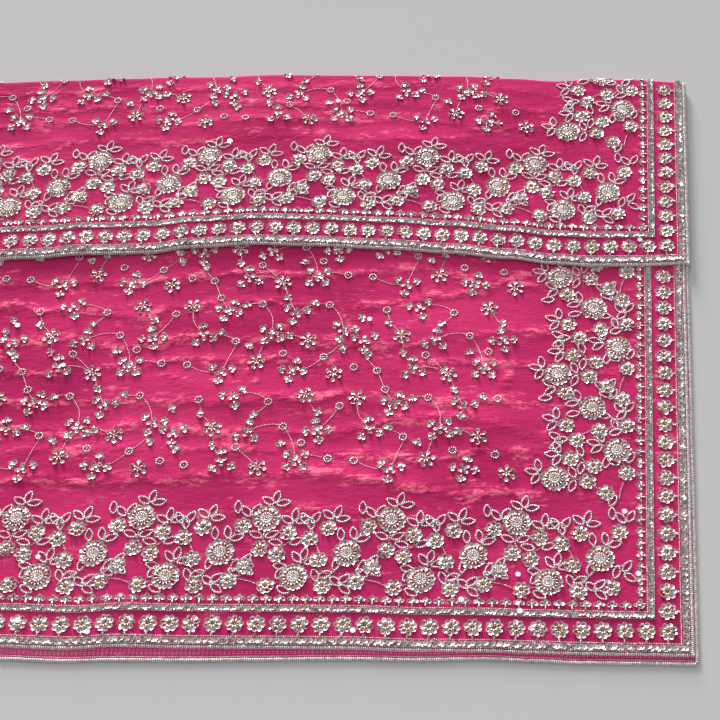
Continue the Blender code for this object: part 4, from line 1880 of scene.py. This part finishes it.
@dataclass
class Garment:
    """The folded dupatta: its cloth, its edging and its needlework."""

    plan: FoldPlan
    columns: int = 151
    body_rows: int = 197
    flap_rows: int = 75
    under_columns: int = 121
    under_rows: int = 61
    fold_steps: int = 8
    under_side: float = -0.004
    under_hem_start: float = -4.0
    hem_start: float = -2.5
    side_start: float = 0.6
    strip_start: float = -2.0
    side_past: float = 1.7
    body_past_flap: float = 0.03
    flap_past_fold: float = 0.004
    strip_lines: tuple[StripLine, ...] = (
        StripLine(1.1, STRIP_SEED, 2.1),
        StripLine(3.9, STRIP_STITCH, 4.0),
        StripLine(5.6, STRIP_STITCH, 4.0),
        StripLine(8.2, STRIP_STITCH, 4.0),
    )

    def __post_init__(self) -> None:
        """Makes the finishes and the four stretches."""
        plan = self.plan
        finishes = [SILK, REVERSE_WITH_PAINTED_LIGHT, *(look.finish for look in CRAFT_LOOKS.values())]
        self.finishes = {finish.name: finish.make() for finish in finishes}
        self.sewer = Sewer(self.finishes)
        self.front = FrontStretch(plan)
        self.under = UnderStretch(plan)
        self.flap = FlapStretch(plan, "flap", plan.flap_level, plan.foot, plan.flap_run)
        lining_run = plan.flap_run + plan.lining_run
        self.lining = FlapStretch(plan, "lining", plan.lining_level, plan.front_level, lining_run)

    def with_fold(self, flat: Array, bend: float, radius: float, tail: float) -> Array:
        """Distances over level cloth, and then round a half-circle fold.

        Args:
            flat: the distances over the level cloth.
            bend: where the fold begins.
            radius: of the fold.
            tail: length of the level cloth after it.

        Returns:
            All the distances.
        """
        steps = np.arange(1, self.fold_steps + 1) / self.fold_steps
        arc = bend + math.pi * radius * steps
        return np.concatenate([flat, arc, [arc[-1] + tail] if tail else []])

    def build_cloth(self) -> None:
        """Builds the four shells."""
        plan = self.plan
        under_columns = np.linspace(self.under_side, plan.end_bend, self.under_columns)
        under_rows = np.linspace(0.0, plan.body_top, self.under_rows)
        front_columns = np.linspace(0.0, plan.end_bend, self.columns)
        front_columns = self.with_fold(front_columns, plan.end_bend, plan.end_radius, plan.turn)
        body_rows = np.linspace(0.0, plan.body_top, self.body_rows)
        flap_columns = np.linspace(0.0, plan.flap_end_bend, self.columns)
        flap_rows = np.linspace(0.0, plan.flap_bend, self.flap_rows)
        lining_radius = (plan.lining_level - plan.front_level) / 2
        lining_rows = self.with_fold(flap_rows[::3], plan.flap_bend, lining_radius, plan.turn)
        lining_columns = flap_columns[::2]
        flap_columns = self.with_fold(flap_columns, plan.flap_end_bend, plan.flap_end_radius, 0.0)
        flap_radius = (plan.flap_level - plan.foot) / 2
        flap_rows = self.with_fold(flap_rows, plan.flap_bend, flap_radius, plan.turn)
        body = (plan.folded, plan.body_depth)
        flap = (plan.folded, plan.flap_depth)
        shells = (
            ClothShell(self.under, "under_layer", under_columns, under_rows, body, (), finish=REVERSE_WITH_PAINTED_LIGHT.name),
            ClothShell(self.front, "front_panel", front_columns, body_rows, body, ("under_cloth",)),
            ClothShell(self.lining, "flap_lining", lining_columns, lining_rows, flap, ("body_cloth",)),
            ClothShell(self.flap, "flap_panel", flap_columns, flap_rows, flap, ("lining_cloth",)),
        )
        for shell in shells:
            obj = shell.build(self.finishes)

    def build_edging(self) -> None:
        """Sews the beaded edging of every stretch."""
        end = self.plan.end_bend / MM
        body = self.plan.body_top / MM
        flap = self.plan.flap_bend / MM
        side = self.side_start
        edgings = (
            BeadEdging("under_hem_edging", self.under, self.under_hem_start, end, False),
            BeadEdging("front_hem_edging", self.front, self.hem_start, end, False),
            BeadEdging("lining_hem_edging", self.lining, self.hem_start, end, False),
            BeadEdging("flap_hem_edging", self.flap, self.hem_start, end, False),
            BeadEdging("front_side_edging", self.front, side, body, True),
            BeadEdging("lining_side_edging", self.lining, side, flap, True),
            BeadEdging("flap_side_edging", self.flap, side, flap, True),
            BeadEdging(
                "under_side_edging", self.under, side, body, True,
                bead=UNDER_BUGLE, side=self.under_side, past=self.side_past,
            ),
        )
        for edging in edgings:
            edging.build(self.sewer)

    def build_under_strip(self) -> None:
        """Sews the thin lines that show on the strip of the layer underneath."""
        needle = Needlework()
        end = self.plan.end_bend / MM
        for line in self.strip_lines:
            along = -np.arange(self.strip_start, end, line.pitch)
            needle.add(line.thing, Spot(0.0, 0.0), along, line.inset)
        self.sewer.sew(needle, self.under, "under_strip", all_shown=True)

    def build(self) -> None:
        """Builds every piece of the garment."""
        plan = self.plan
        self.build_cloth()
        self.build_edging()
        self.build_under_strip()
        Embroidery(self.front, plan, plan.flap_hem + self.body_past_flap, self.sewer).build()
        Embroidery(self.flap, plan, plan.flap_depth + self.flap_past_fold, self.sewer).build()


# ---------------------------------------------------------------- the studio


@dataclass(frozen=True)
class Softbox:
    """A square studio light that faces the cloth."""

    name: str
    place: Size
    size: float
    power: float


@dataclass(frozen=True)
class Sunlight:
    """An even light from one direction: how far round from -Y, how high, how wide, and how strong."""

    name: str
    azimuth: float
    elevation: float
    spread: float
    strength: float


@dataclass(frozen=True)
class Studio:
    """A plain pale floor, soft light and the camera."""

    plan: FoldPlan
    aim_left: float = 0.3023
    aim_up: float = 0.3193
    elevation: float = 57.5
    distance: float = 1.6344
    lens: float = 80.0
    floor_size: float = 12.0
    ambient: float = 0.20
    room_colour: Colour = (0.98, 0.985, 1.0, 1.0)
    far_end: float = 50.0
    softboxes: tuple[Softbox, ...] = (
        Softbox("overhead_softbox", (-0.3, 1.3, 3.4), 3.0, 18.0),
        Softbox("front_fill", (0.1, -2.4, 1.6), 1.8, 9.0),
    )
    suns: tuple[Sunlight, ...] = (
        Sunlight("key_light", 192.0, 30.0, 10.0, 0.7),
        Sunlight("raking_light", 194.0, 10.0, 12.0, 6.3),
        Sunlight("glint_light", 188.0, 58.0, 1.5, 0.35),
    )

    @property
    def aim(self) -> Vector:
        """The point on the floor that the camera looks at."""
        return self.plan.corner + Vector((-self.aim_left, self.aim_up, 0.0))

    def build(self) -> None:
        """Builds the floor, the lights and the camera."""
        self.build_floor()
        self.build_lights()
        self.build_camera()

    def build_floor(self) -> None:
        """Lays the floor under the cloth."""
        mesh = bmesh.new()
        bmesh.ops.create_grid(mesh, x_segments=1, y_segments=1, size=self.floor_size / 2)
        data = bpy.data.meshes.new("floor")
        mesh.to_mesh(data)
        mesh.free()
        data.materials.append(PaleFloor().make())
        floor = link("floor", data)

    def build_lights(self) -> None:
        """Hangs the softboxes and the suns and sets the even light of the room."""
        for box in self.softboxes:
            light = bpy.data.lights.new(box.name, "AREA")
            light.size = box.size
            light.energy = box.power
            lamp = link(box.name, light)
            lamp.location = box.place
            lamp.rotation_euler = (self.aim - lamp.location).to_track_quat("-Z", "Y").to_euler()
        for sun in self.suns:
            light = bpy.data.lights.new(sun.name, "SUN")
            light.angle = math.radians(sun.spread)
            light.energy = sun.strength
            lamp = link(sun.name, light)
            lamp.rotation_euler = (math.radians(90.0 - sun.elevation), 0.0, math.radians(sun.azimuth))
        world = bpy.data.worlds.new("room")
        world.use_nodes = True
        background = world.node_tree.nodes["Background"]
        background.inputs["Color"].default_value = self.room_colour
        background.inputs["Strength"].default_value = self.ambient
        bpy.context.scene.world = world
        bpy.context.scene.view_settings.view_transform = "Standard"

    def build_camera(self) -> None:
        """Sets the camera above the hem, looking down along +Y."""
        angle = math.radians(self.elevation)
        camera = link("camera", bpy.data.cameras.new("camera"))
        camera.data.lens = self.lens
        camera.data.clip_end = self.far_end
        back = Vector((0.0, -math.cos(angle), math.sin(angle))) * self.distance
        camera.location = self.aim + back
        camera.rotation_euler = (math.pi / 2 - angle, 0.0, 0.0)
        bpy.context.scene.camera = camera


def main() -> None:
    """Builds the garment and the studio round it."""
    logging.basicConfig(level=logging.INFO, format="%(message)s")
    plan = FoldPlan.from_frame()
    Garment(plan).build()
    Studio(plan).build()


if __name__ == "__main__":
    main()
